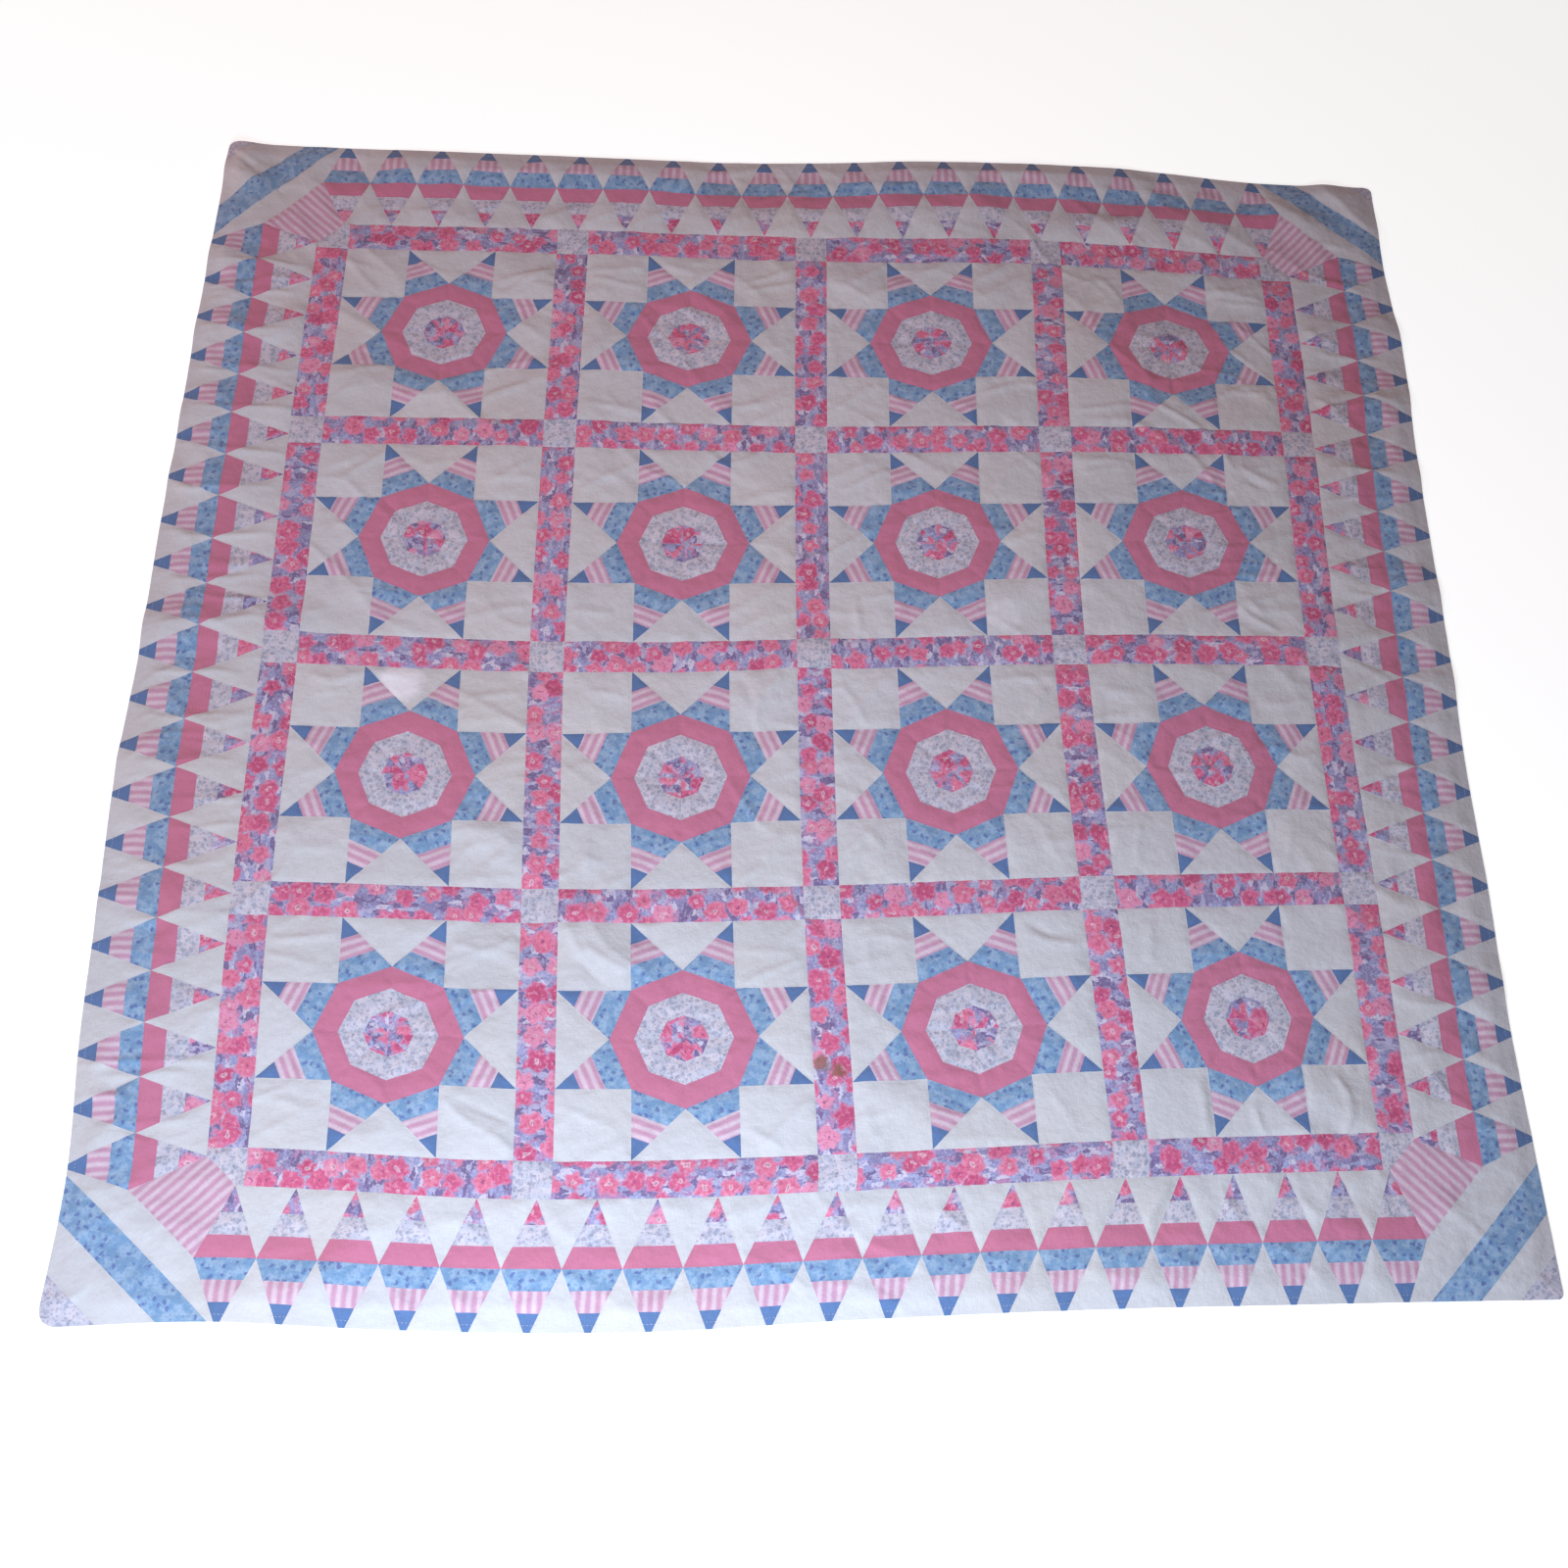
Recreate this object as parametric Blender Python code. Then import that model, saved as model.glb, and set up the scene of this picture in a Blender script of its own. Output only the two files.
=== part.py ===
"""A square patchwork quilt laid out flat: one thin padded sheet with a turned hem, an uneven edge
and low soft folds. It lies in the XY plane with its underside on z = 0 and its head towards +Y."""

import math

import bmesh
import bpy
import numpy as np
from mathutils import Vector

# Driving dimensions, in metres.
BLOCK = 0.352
SASH = 0.0525
BORDER = 0.176
BLOCKS_ACROSS = 4
THICK = 0.0034
HEM = 0.010
HEM_THICK = 0.0024
HEM_FADE = 0.028
BLOCK_CELLS = 8
BORDER_CELLS = 4

PITCH = BLOCK + SASH
SIDE = BLOCKS_ACROSS * PITCH + SASH + 2 * BORDER
HALF = SIDE / 2

# How far each edge has crept from a true square, in millimetres, every half block along it.
# The left and right edges run from foot to head and move in x; the others run left to right.
LEFT_CREEP = [-6, 4, -6, -9, -12, -4, -2, 4, 8, 14, 20]
RIGHT_CREEP = [6, 0, -5, -2, -4, 1, 2, 4, 11, 2, 4]
FOOT_CREEP = [6, 8, -7, -18, -21, -14, -10, -8, -9, -10, -12]
HEAD_CREEP = [0, -2, -4, -6, -9, -4, 9, 10, 2, -18, -20]

# Corner radii, in metres: foot left, foot right, head left, head right.
CORNER_RADII = {(-1, -1): 0.024, (1, -1): 0.008, (-1, 1): 0.014, (1, 1): 0.014}

# Soft folds: start x and y, end x and y, half width and height, in metres.
FOLDS = [
    # ripples along the head border
    (-0.70, 0.962, -0.22, 0.953, 0.036, 0.0080),
    (-0.18, 0.874, 0.30, 0.905, 0.038, 0.0065),
    (0.14, 0.972, 0.56, 0.988, 0.034, 0.0065),
    (0.42, 0.878, 0.72, 0.872, 0.036, 0.0055),
    (-0.42, 0.860, -0.26, 0.892, 0.032, 0.0045),
    # puckers round the head corners
    (-1.00, 0.958, -0.94, 0.925, 0.028, 0.0085),
    (-0.97, 1.010, -0.95, 0.985, 0.026, 0.0080),
    (0.83, 0.922, 0.98, 0.835, 0.034, 0.0060),
    (0.93, 0.978, 1.01, 0.885, 0.032, 0.0070),
    # ripples across the left border
    (-1.00, 0.762, -0.87, 0.728, 0.032, 0.0060),
    (-1.00, 0.607, -0.85, 0.622, 0.034, 0.0060),
    (-1.00, 0.436, -0.86, 0.450, 0.032, 0.0050),
    (-1.01, 0.322, -0.90, 0.292, 0.032, 0.0045),
    (-1.01, 0.044, -0.80, 0.054, 0.036, 0.0080),
    (-1.02, -0.180, -0.91, -0.196, 0.032, 0.0045),
    (-1.01, -0.415, -0.89, -0.398, 0.034, 0.0040),
    # ripples across the right border
    (1.01, 0.655, 0.88, 0.640, 0.034, 0.0065),
    (1.01, 0.520, 0.88, 0.500, 0.032, 0.0050),
    (1.01, 0.362, 0.86, 0.350, 0.034, 0.0050),
    (1.01, 0.124, 0.87, 0.152, 0.034, 0.0055),
    (1.01, -0.045, 0.89, -0.080, 0.034, 0.0050),
    (1.00, -0.555, 0.89, -0.585, 0.034, 0.0040),
    # ripples across the foot border
    (-0.66, -0.945, -0.59, -0.860, 0.034, 0.0045),
    (0.22, -0.985, 0.26, -0.880, 0.036, 0.0045),
    (-0.95, -0.840, -0.84, -0.905, 0.034, 0.0040),
    # creases that cross the blocks
    (-0.52, 0.760, -0.42, 0.695, 0.034, 0.0045),
    (-0.77, 0.515, -0.59, 0.492, 0.034, 0.0040),
    (0.03, 0.745, 0.14, 0.715, 0.034, 0.0045),
    (0.69, 0.752, 0.79, 0.725, 0.034, 0.0045),
    (0.27, 0.097, 0.37, 0.137, 0.034, 0.0040),
    (-0.10, -0.080, 0.00, 0.014, 0.036, 0.0070),
    (-0.52, -0.290, -0.43, -0.340, 0.034, 0.0055),
    (-0.36, -0.445, -0.28, -0.510, 0.036, 0.0065),
    (-0.52, -0.696, -0.43, -0.788, 0.034, 0.0045),
    (0.07, -0.700, 0.16, -0.760, 0.034, 0.0040),
    (0.68, -0.700, 0.77, -0.765, 0.034, 0.0040),
]
FOLD_FLOOR = 0.0005


def along(table, place):
    """The table's value at a place from 0 to its last entry, as a smooth curve through the entries."""
    last = len(table) - 1
    start = min(max(int(math.floor(place)), 0), last - 1)
    part = min(max(place - start, 0.0), 1.0)
    before = table[max(start - 1, 0)]
    here = table[start]
    there = table[start + 1]
    after = table[min(start + 2, last)]
    slope_here = (there - before) / 2
    slope_there = (after - here) / 2
    square = part * part
    cube = square * part
    return (
        (2 * cube - 3 * square + 1) * here
        + (cube - 2 * square + part) * slope_here
        + (3 * square - 2 * cube) * there
        + (cube - square) * slope_there
    )


def creep_shares(value):
    """How far into the outer half block a place lies, as (low side, high side), each from 0 to 1."""
    inner = HALF - PITCH / 2
    low = min(max((-inner - value) / (HALF - inner), 0.0), 1.0)
    high = min(max((value - inner) / (HALF - inner), 0.0), 1.0)
    return low, high


def crept(x, y):
    """Where a place of the true square lies on the uneven quilt."""
    place_x = (x + HALF) / (PITCH / 2)
    place_y = (y + HALF) / (PITCH / 2)
    left, right = creep_shares(x)
    foot, head = creep_shares(y)
    move_x = left * along(LEFT_CREEP, place_y) + right * along(RIGHT_CREEP, place_y)
    move_y = foot * along(FOOT_CREEP, place_x) + head * along(HEAD_CREEP, place_x)
    return x + move_x / 1000, y + move_y / 1000


def round_corner(x, y):
    """Pulls places near a corner of the true square in to a rounded corner."""
    side_x = 1 if x > 0 else -1
    side_y = 1 if y > 0 else -1
    radius = CORNER_RADII[(side_x, side_y)]
    across = abs(x) - (HALF - radius)
    up = abs(y) - (HALF - radius)
    if across <= 0 or up <= 0:
        return x, y
    pull = max(across, up) / math.hypot(across, up)
    return side_x * (HALF - radius + across * pull), side_y * (HALF - radius + up * pull)


def lift(x, y):
    """How far the folds lift the cloth off the ground at a place."""
    total = 0.0
    for x0, y0, x1, y1, width, height in FOLDS:
        run_x = x1 - x0
        run_y = y1 - y0
        share = ((x - x0) * run_x + (y - y0) * run_y) / (run_x**2 + run_y**2)
        share = min(max(share, 0.0), 1.0)
        away = math.hypot(x - x0 - share * run_x, y - y0 - share * run_y)
        total += height * math.exp(-((away / width) ** 2))
    return max(total - FOLD_FLOOR, 0.0)


def thickness(x, y):
    """The padded thickness, thinner at the turned hem."""
    inside = HALF - max(abs(x), abs(y))
    share = min(max((inside - HEM) / (HEM_FADE - HEM), 0.0), 1.0)
    return HEM_THICK + (THICK - HEM_THICK) * share


def grid_lines():
    """The places of the sheet's grid lines across the true square: hem, border, strips and blocks."""
    first = [0.0, HEM]
    first += list(np.linspace(HEM_FADE, BORDER, BORDER_CELLS + 1))
    lines = list(first)
    place = BORDER
    for block in range(BLOCKS_ACROSS):
        place += SASH
        lines += list(np.linspace(place, place + BLOCK, BLOCK_CELLS + 1))
        place += BLOCK
    lines += [place + SASH]
    lines += [SIDE - value for value in reversed(first[:-1])]
    return [value - HALF for value in lines]


def clear_scene():
    for thing in list(bpy.data.objects):
        bpy.data.objects.remove(thing, do_unlink=True)


def cotton(name, colour, roughness):
    material = bpy.data.materials.new(name)
    material.use_nodes = True
    shader = material.node_tree.nodes["Principled BSDF"]
    shader.inputs["Base Color"].default_value = (*colour, 1.0)
    shader.inputs["Roughness"].default_value = roughness
    shader.inputs["Metallic"].default_value = 0.0
    return material


def make_quilt():
    lines = grid_lines()
    cells = len(lines) - 1
    sheet = bmesh.new()
    bmesh.ops.create_grid(sheet, x_segments=cells, y_segments=cells, size=cells / 2)
    for vertex in sheet.verts:
        column = round(vertex.co.x + cells / 2)
        row = round(vertex.co.y + cells / 2)
        vertex.co = Vector((lines[column], lines[row], 0.0))
    under = list(sheet.verts)
    made = bmesh.ops.extrude_face_region(sheet, geom=list(sheet.faces))
    over = [item for item in made["geom"] if isinstance(item, bmesh.types.BMVert)]
    for vertex in over:
        vertex.co.z = thickness(vertex.co.x, vertex.co.y)
    for vertex in under + over:
        x, y = round_corner(vertex.co.x, vertex.co.y)
        x, y = crept(x, y)
        vertex.co = Vector((x, y, vertex.co.z + lift(x, y)))
    bmesh.ops.recalc_face_normals(sheet, faces=list(sheet.faces))
    low = min(vertex.co.x for vertex in sheet.verts)
    high = max(vertex.co.x for vertex in sheet.verts)
    near = min(vertex.co.y for vertex in sheet.verts)
    far = max(vertex.co.y for vertex in sheet.verts)
    middle = Vector(((low + high) / 2, (near + far) / 2, 0.0))
    bmesh.ops.translate(sheet, vec=-middle, verts=list(sheet.verts))
    mesh = bpy.data.meshes.new("quilt")
    sheet.to_mesh(mesh)
    sheet.free()
    for face in mesh.polygons:
        face.use_smooth = True
    quilt = bpy.data.objects.new("quilt", mesh)
    bpy.context.scene.collection.objects.link(quilt)
    quilt.data.materials.append(cotton("quilt_cotton", (0.62, 0.55, 0.60), 0.9))
    return quilt


clear_scene()
quilt = make_quilt()
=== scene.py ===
# %% [markdown]
# # A patchwork quilt of stars, laid out flat
# The quilt is a square cover about two metres across. Its top is sewn from some 1600 patches of
# cotton: sixteen eight-pointed stars on cream, strips of large flowers between them, and a
# border of long diamonds. A thin filling and a plain back cloth lie under it, and a turned hem goes
# all the way round.
#
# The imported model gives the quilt's size, its uneven outline and its low folds. This lesson sews the
# patchwork on top of it, row by row, in the order in which a quilter joins the rows.

# %% Load the model
import math

import bmesh
import bpy
import numpy as np
from mathutils import Matrix, Quaternion, Vector


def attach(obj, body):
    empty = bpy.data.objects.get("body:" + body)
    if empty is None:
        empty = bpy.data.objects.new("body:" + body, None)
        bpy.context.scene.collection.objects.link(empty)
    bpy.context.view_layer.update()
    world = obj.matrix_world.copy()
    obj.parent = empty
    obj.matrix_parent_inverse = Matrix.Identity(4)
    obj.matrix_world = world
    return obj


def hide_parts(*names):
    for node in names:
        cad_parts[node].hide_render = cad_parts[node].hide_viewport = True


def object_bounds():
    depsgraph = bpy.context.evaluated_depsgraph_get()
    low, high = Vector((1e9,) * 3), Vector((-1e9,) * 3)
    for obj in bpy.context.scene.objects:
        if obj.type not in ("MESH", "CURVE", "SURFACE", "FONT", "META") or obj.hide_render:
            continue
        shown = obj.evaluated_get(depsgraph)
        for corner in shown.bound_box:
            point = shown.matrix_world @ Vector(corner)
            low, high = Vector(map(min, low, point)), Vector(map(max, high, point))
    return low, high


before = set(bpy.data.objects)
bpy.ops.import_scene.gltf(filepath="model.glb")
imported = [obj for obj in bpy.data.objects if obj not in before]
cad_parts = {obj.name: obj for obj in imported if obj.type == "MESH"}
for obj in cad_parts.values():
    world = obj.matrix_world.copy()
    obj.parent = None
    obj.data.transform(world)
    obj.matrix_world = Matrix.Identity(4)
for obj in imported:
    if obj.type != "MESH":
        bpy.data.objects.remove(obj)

cad_low, cad_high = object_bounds()
cad_size = [round(high - low, 4) for low, high in zip(cad_low, cad_high)]
print("the model's size in metres:", cad_size)

# %% [markdown]
# ## The camera
# Someone stands at the foot of the quilt and looks down at it, with the camera held a little
# crooked. A camera's direction is easiest to give as three turns: how far round it looks, how far
# down, and how far it is rolled. `to_track_quat` makes the first two into a rotation, and the roll
# is a turn about the camera's own line of sight.

# %% Camera
CAMERA_PLACE = (-0.1037, -1.6555, 2.8367)
CAMERA_ROUND = math.radians(13.54)
CAMERA_DOWN = math.radians(62.43)
CAMERA_ROLL = math.radians(12.04)

camera_data = bpy.data.cameras.new("view")
camera_data.lens = 48.4
camera_data.sensor_width = 36
camera_data.shift_x = -0.125
camera = bpy.data.objects.new("view", camera_data)
bpy.context.collection.objects.link(camera)
sight = Vector(
    (
        math.sin(CAMERA_ROUND) * math.cos(CAMERA_DOWN),
        math.cos(CAMERA_ROUND) * math.cos(CAMERA_DOWN),
        -math.sin(CAMERA_DOWN),
    )
)
camera.location = CAMERA_PLACE
camera.rotation_mode = "QUATERNION"
camera.rotation_quaternion = sight.to_track_quat("-Z", "Y") @ Quaternion((0, 0, 1), CAMERA_ROLL)
bpy.context.scene.camera = camera
print("the camera looks along", [round(part, 3) for part in sight])

# %% [markdown]
# ## Floor and light
# Cloth shows its folds best in light that is soft but comes mostly from one side. A wide lamp low
# over the foot of the quilt does that, and it makes the foot brighter than the head. It is a cool
# light, and a warm one falls slantwise across the whole quilt from the left. A small warm lamp
# lifts the middle a little, and a faint warm world fills the shadows. The floor glows slightly, so
# that it stays pale all the way back. The Standard view keeps the dyes as bright as they are.

# %% Floor and lights
FLOOR_REACH = 60
FLOOR_GAP = 0.0004
FLOOR_GLOW = 0.72
WORLD_STRENGTH = 0.16

floor_mesh = bpy.data.meshes.new("floor")
floor_form = bmesh.new()
bmesh.ops.create_grid(floor_form, x_segments=1, y_segments=1, size=FLOOR_REACH)
bmesh.ops.translate(floor_form, verts=floor_form.verts, vec=(0, 0, -FLOOR_GAP))
floor_form.to_mesh(floor_mesh)
floor_form.free()
floor = bpy.data.objects.new("floor", floor_mesh)
bpy.context.collection.objects.link(floor)
floor_paint = bpy.data.materials.new("floor_paint")
floor_paint.use_nodes = True
floor_shader = floor_paint.node_tree.nodes["Principled BSDF"]
floor_shader.inputs["Base Color"].default_value = (0.55, 0.55, 0.55, 1)
floor_shader.inputs["Roughness"].default_value = 0.9
floor_shader.inputs["Emission Color"].default_value = (1, 1, 1, 1)
floor_shader.inputs["Emission Strength"].default_value = FLOOR_GLOW
floor_mesh.materials.append(floor_paint)

world = bpy.data.worlds.new("studio")
world.use_nodes = True
world.node_tree.nodes["Background"].inputs["Color"].default_value = (1, 0.71, 0.67, 1)
world.node_tree.nodes["Background"].inputs["Strength"].default_value = WORLD_STRENGTH
bpy.context.scene.world = world


def add_lamp(name, place, target, size, power, colour):
    """A square soft lamp at a place, turned to face the target."""
    lamp_data = bpy.data.lights.new(name, "AREA")
    lamp_data.size = size
    lamp_data.color = colour
    lamp_data.energy = power
    lamp = bpy.data.objects.new(name, lamp_data)
    lamp.location = place
    lamp.rotation_mode = "QUATERNION"
    lamp.rotation_quaternion = (Vector(target) - Vector(place)).to_track_quat("-Z", "Y")
    lamp.visible_camera = False
    bpy.context.collection.objects.link(lamp)


# Name, place, target, size, power and colour.
add_lamp("foot_lamp", (-0.42, -2.0, 1.35), (-0.1, -0.5, 0), 0.7, 60, (0.68, 0.84, 0.95))
add_lamp("side_lamp", (-4.2, 1.4, 2.4), (0, 0, 0), 1.0, 66, (1.0, 0.73, 0.71))
add_lamp("middle_lamp", (-0.1, 0.35, 1.25), (-0.1, 0.35, 0), 0.5, 2.2, (1.0, 0.78, 0.75))
bpy.context.scene.view_settings.view_transform = "Standard"
print("floor, world and three lamps are in place")

# %% [markdown]
# ## The quilt's measures
# Everything follows from three cut sizes: the star block, the strip between blocks and the border.
# A pitch is one block and one strip.

# %% Measures
BLOCK = 0.352
SASH = 0.0525
BORDER = 0.176
BLOCKS_ACROSS = 4
THICK = 0.0034
HEM = 0.010
HEM_THICK = 0.0024
HEM_FADE = 0.028

PITCH = BLOCK + SASH
FIELD = (BLOCKS_ACROSS * PITCH + SASH) / 2
HALF = FIELD + BORDER
print("the quilt is sewn as a square of", round(2 * HALF, 4), "m")

# %% [markdown]
# ## From the cutting table to the floor
# A quilt is planned on a true square, but it lies unevenly. So each patch is first laid out on the
# true square, and `settle` then moves every point of it to where it lies: the crossings of the
# strips have drifted by a centimetre or two, and the four edges have crept in and out.
# `along` draws a smooth curve through a short table of such moves.

# %% Where the cloth has crept to
# In millimetres. The left and right edges run from foot to head, the others from left to right.
LEFT_CREEP = [-6, 4, -6, -9, -12, -4, -2, 4, 8, 14, 20]
RIGHT_CREEP = [6, 0, -5, -2, -4, 1, 2, 4, 11, 2, 4]
FOOT_CREEP = [6, 8, -7, -18, -21, -14, -10, -8, -9, -10, -12]
HEAD_CREEP = [0, -2, -4, -6, -9, -4, 9, 10, 2, -18, -20]

# How far each crossing of the strips has drifted, in millimetres. Rows run from foot to head.
DRIFT_X = [
    [7, 7, 16, 22, 1],
    [-2, -1, 0, 5, -2],
    [0, -9, -6, -9, -6],
    [0, -6, -5, -5, 3],
    [8, 0, 0, 4, 4],
]
DRIFT_Y = [
    [12, -16, -14, -2, 2],
    [0, -16, -13, 0, 5],
    [8, -5, 2, 15, 13],
    [8, 8, 4, 15, 13],
    [2, 4, 0, 8, -18],
]
CORNER_RADII = {(-1, -1): 0.024, (1, -1): 0.008, (-1, 1): 0.014, (1, 1): 0.014}


def along(table, place):
    """The table's values at places along it, as a smooth curve through its entries."""
    table = np.asarray(table, float)
    if table.ndim == 1:
        table = np.broadcast_to(table[:, None], (len(table), len(place)))
    last = len(table) - 1
    start = np.clip(np.floor(place).astype(int), 0, last - 1)
    part = np.clip(place - start, 0, 1)
    point = np.arange(len(place))
    here = table[start, point]
    there = table[start + 1, point]
    slope_here = (there - table[np.maximum(start - 1, 0), point]) / 2
    slope_there = (table[np.minimum(start + 2, last), point] - here) / 2
    square = part * part
    cube = square * part
    return (
        (2 * cube - 3 * square + 1) * here
        + (cube - 2 * square + part) * slope_here
        + (3 * square - 2 * cube) * there
        + (cube - square) * slope_there
    )


def drift(rows, grid_x, grid_y):
    """A table of the crossings' moves, read at places between the crossings."""
    return along(np.stack([along(row, grid_x) for row in rows]), grid_y)


def round_corners(x, y):
    """Draws the four corners of the true square in to their radii."""
    x = x.copy()
    y = y.copy()
    for (side_x, side_y), radius in CORNER_RADII.items():
        across = x * side_x - (HALF - radius)
        up = y * side_y - (HALF - radius)
        near = (across > 0) & (up > 0)
        across, up = across[near], up[near]
        pull = np.maximum(across, up) / np.hypot(across, up)
        x[near] = side_x * (HALF - radius + across * pull)
        y[near] = side_y * (HALF - radius + up * pull)
    return x, y


def crept(x, y):
    """Where places of the true square lie on the uneven quilt."""
    x, y = round_corners(x, y)
    grid_x = x / PITCH + BLOCKS_ACROSS / 2
    grid_y = y / PITCH + BLOCKS_ACROSS / 2
    left = np.clip(-2 * grid_x, 0, 1)
    right = np.clip(2 * (grid_x - BLOCKS_ACROSS), 0, 1)
    foot = np.clip(-2 * grid_y, 0, 1)
    head = np.clip(2 * (grid_y - BLOCKS_ACROSS), 0, 1)
    place_x = 2 * grid_x + 1
    place_y = 2 * grid_y + 1
    inside_x = np.clip(grid_x, 0, BLOCKS_ACROSS)
    inside_y = np.clip(grid_y, 0, BLOCKS_ACROSS)
    inner = (1 - left - right) * (1 - foot - head)
    move_x = inner * drift(DRIFT_X, inside_x, inside_y)
    move_x += left * along(LEFT_CREEP, place_y) + right * along(RIGHT_CREEP, place_y)
    move_y = inner * drift(DRIFT_Y, inside_x, inside_y)
    move_y += foot * along(FOOT_CREEP, place_x) + head * along(HEAD_CREEP, place_x)
    return x + move_x / 1000, y + move_y / 1000


def outline():
    """Points all round the quilt's edge, where they lie."""
    run = np.linspace(-HALF, HALF, 800)
    edge = np.full(len(run), HALF)
    x = np.concatenate([run, run, edge, -edge])
    y = np.concatenate([edge, -edge, run, run])
    return crept(x, y)


edge_x, edge_y = outline()
MIDDLE_X = (edge_x.min() + edge_x.max()) / 2
MIDDLE_Y = (edge_y.min() + edge_y.max()) / 2
print("the uneven quilt measures", round(np.ptp(edge_x), 4), "by", round(np.ptp(edge_y), 4), "m")

# %% [markdown]
# ## Folds
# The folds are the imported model's own: soft ridges, each a straight line with a half width and a
# height. A point's distance to the line, put through a bell curve, gives the ridge its round top.

# %% Folds that lift the whole quilt
# Start x and y, end x and y, half width and height, in metres.
FOLDS = [
    (-0.70, 0.962, -0.22, 0.953, 0.036, 0.0080),
    (-0.18, 0.874, 0.30, 0.905, 0.038, 0.0065),
    (0.14, 0.972, 0.56, 0.988, 0.034, 0.0065),
    (0.42, 0.878, 0.72, 0.872, 0.036, 0.0055),
    (-0.42, 0.860, -0.26, 0.892, 0.032, 0.0045),
    (-1.00, 0.958, -0.94, 0.925, 0.028, 0.0085),
    (-0.97, 1.010, -0.95, 0.985, 0.026, 0.0080),
    (0.83, 0.922, 0.98, 0.835, 0.034, 0.0060),
    (0.93, 0.978, 1.01, 0.885, 0.032, 0.0070),
    (-1.00, 0.762, -0.87, 0.728, 0.032, 0.0060),
    (-1.00, 0.607, -0.85, 0.622, 0.034, 0.0060),
    (-1.00, 0.436, -0.86, 0.450, 0.032, 0.0050),
    (-1.01, 0.322, -0.90, 0.292, 0.032, 0.0045),
    (-1.01, 0.044, -0.80, 0.054, 0.036, 0.0080),
    (-1.02, -0.180, -0.91, -0.196, 0.032, 0.0045),
    (-1.01, -0.415, -0.89, -0.398, 0.034, 0.0040),
    (1.01, 0.655, 0.88, 0.640, 0.034, 0.0065),
    (1.01, 0.520, 0.88, 0.500, 0.032, 0.0050),
    (1.01, 0.362, 0.86, 0.350, 0.034, 0.0050),
    (1.01, 0.124, 0.87, 0.152, 0.034, 0.0055),
    (1.01, -0.045, 0.89, -0.080, 0.034, 0.0050),
    (1.00, -0.555, 0.89, -0.585, 0.034, 0.0040),
    (-0.66, -0.945, -0.59, -0.860, 0.034, 0.0045),
    (0.22, -0.985, 0.26, -0.880, 0.036, 0.0045),
    (-0.95, -0.840, -0.84, -0.905, 0.034, 0.0040),
    (-0.52, 0.760, -0.42, 0.695, 0.034, 0.0045),
    (-0.77, 0.515, -0.59, 0.492, 0.034, 0.0040),
    (0.03, 0.745, 0.14, 0.715, 0.034, 0.0045),
    (0.69, 0.752, 0.79, 0.725, 0.034, 0.0045),
    (0.27, 0.097, 0.37, 0.137, 0.034, 0.0040),
    (-0.10, -0.080, 0.00, 0.014, 0.036, 0.0070),
    (-0.52, -0.290, -0.43, -0.340, 0.034, 0.0055),
    (-0.36, -0.445, -0.28, -0.510, 0.036, 0.0065),
    (-0.52, -0.696, -0.43, -0.788, 0.034, 0.0045),
    (0.07, -0.700, 0.16, -0.760, 0.034, 0.0040),
    (0.68, -0.700, 0.77, -0.765, 0.034, 0.0040),
]
FOLD_FLOOR = 0.0005


def from_line(x, y, x0, y0, x1, y1):
    """How far along a line each point is, as a share of it, and how far away from it."""
    run_x = x1 - x0
    run_y = y1 - y0
    share = ((x - x0) * run_x + (y - y0) * run_y) / (run_x**2 + run_y**2)
    share = np.clip(share, 0, 1)
    return share, np.hypot(x - x0 - share * run_x, y - y0 - share * run_y)


def lift(x, y):
    """How far the folds lift the quilt off the floor."""
    total = np.zeros(len(x))
    for *ends, width, height in FOLDS:
        _, away = from_line(x, y, *ends)
        total += height * np.exp(-((away / width) ** 2))
    return np.maximum(total - FOLD_FLOOR, 0)


def thickness(edge):
    """The quilt's thickness at a distance inside its edge."""
    share = np.clip((edge - HEM) / (HEM_FADE - HEM), 0, 1)
    return HEM_THICK + (THICK - HEM_THICK) * share * share * (3 - 2 * share)


print(len(FOLDS), "folds lift the quilt by up to", max(fold[5] for fold in FOLDS) * 1000, "mm")

# %% [markdown]
# ## Creases
# Washing and folding leave sharper marks than the folds themselves. Each crease is a short line
# too, narrower than a fold and with a sharper crest, and it crosses one or two patches. Real ones
# never run dead straight, so `rumple`, a smooth field of random heights, makes them wander.

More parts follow.
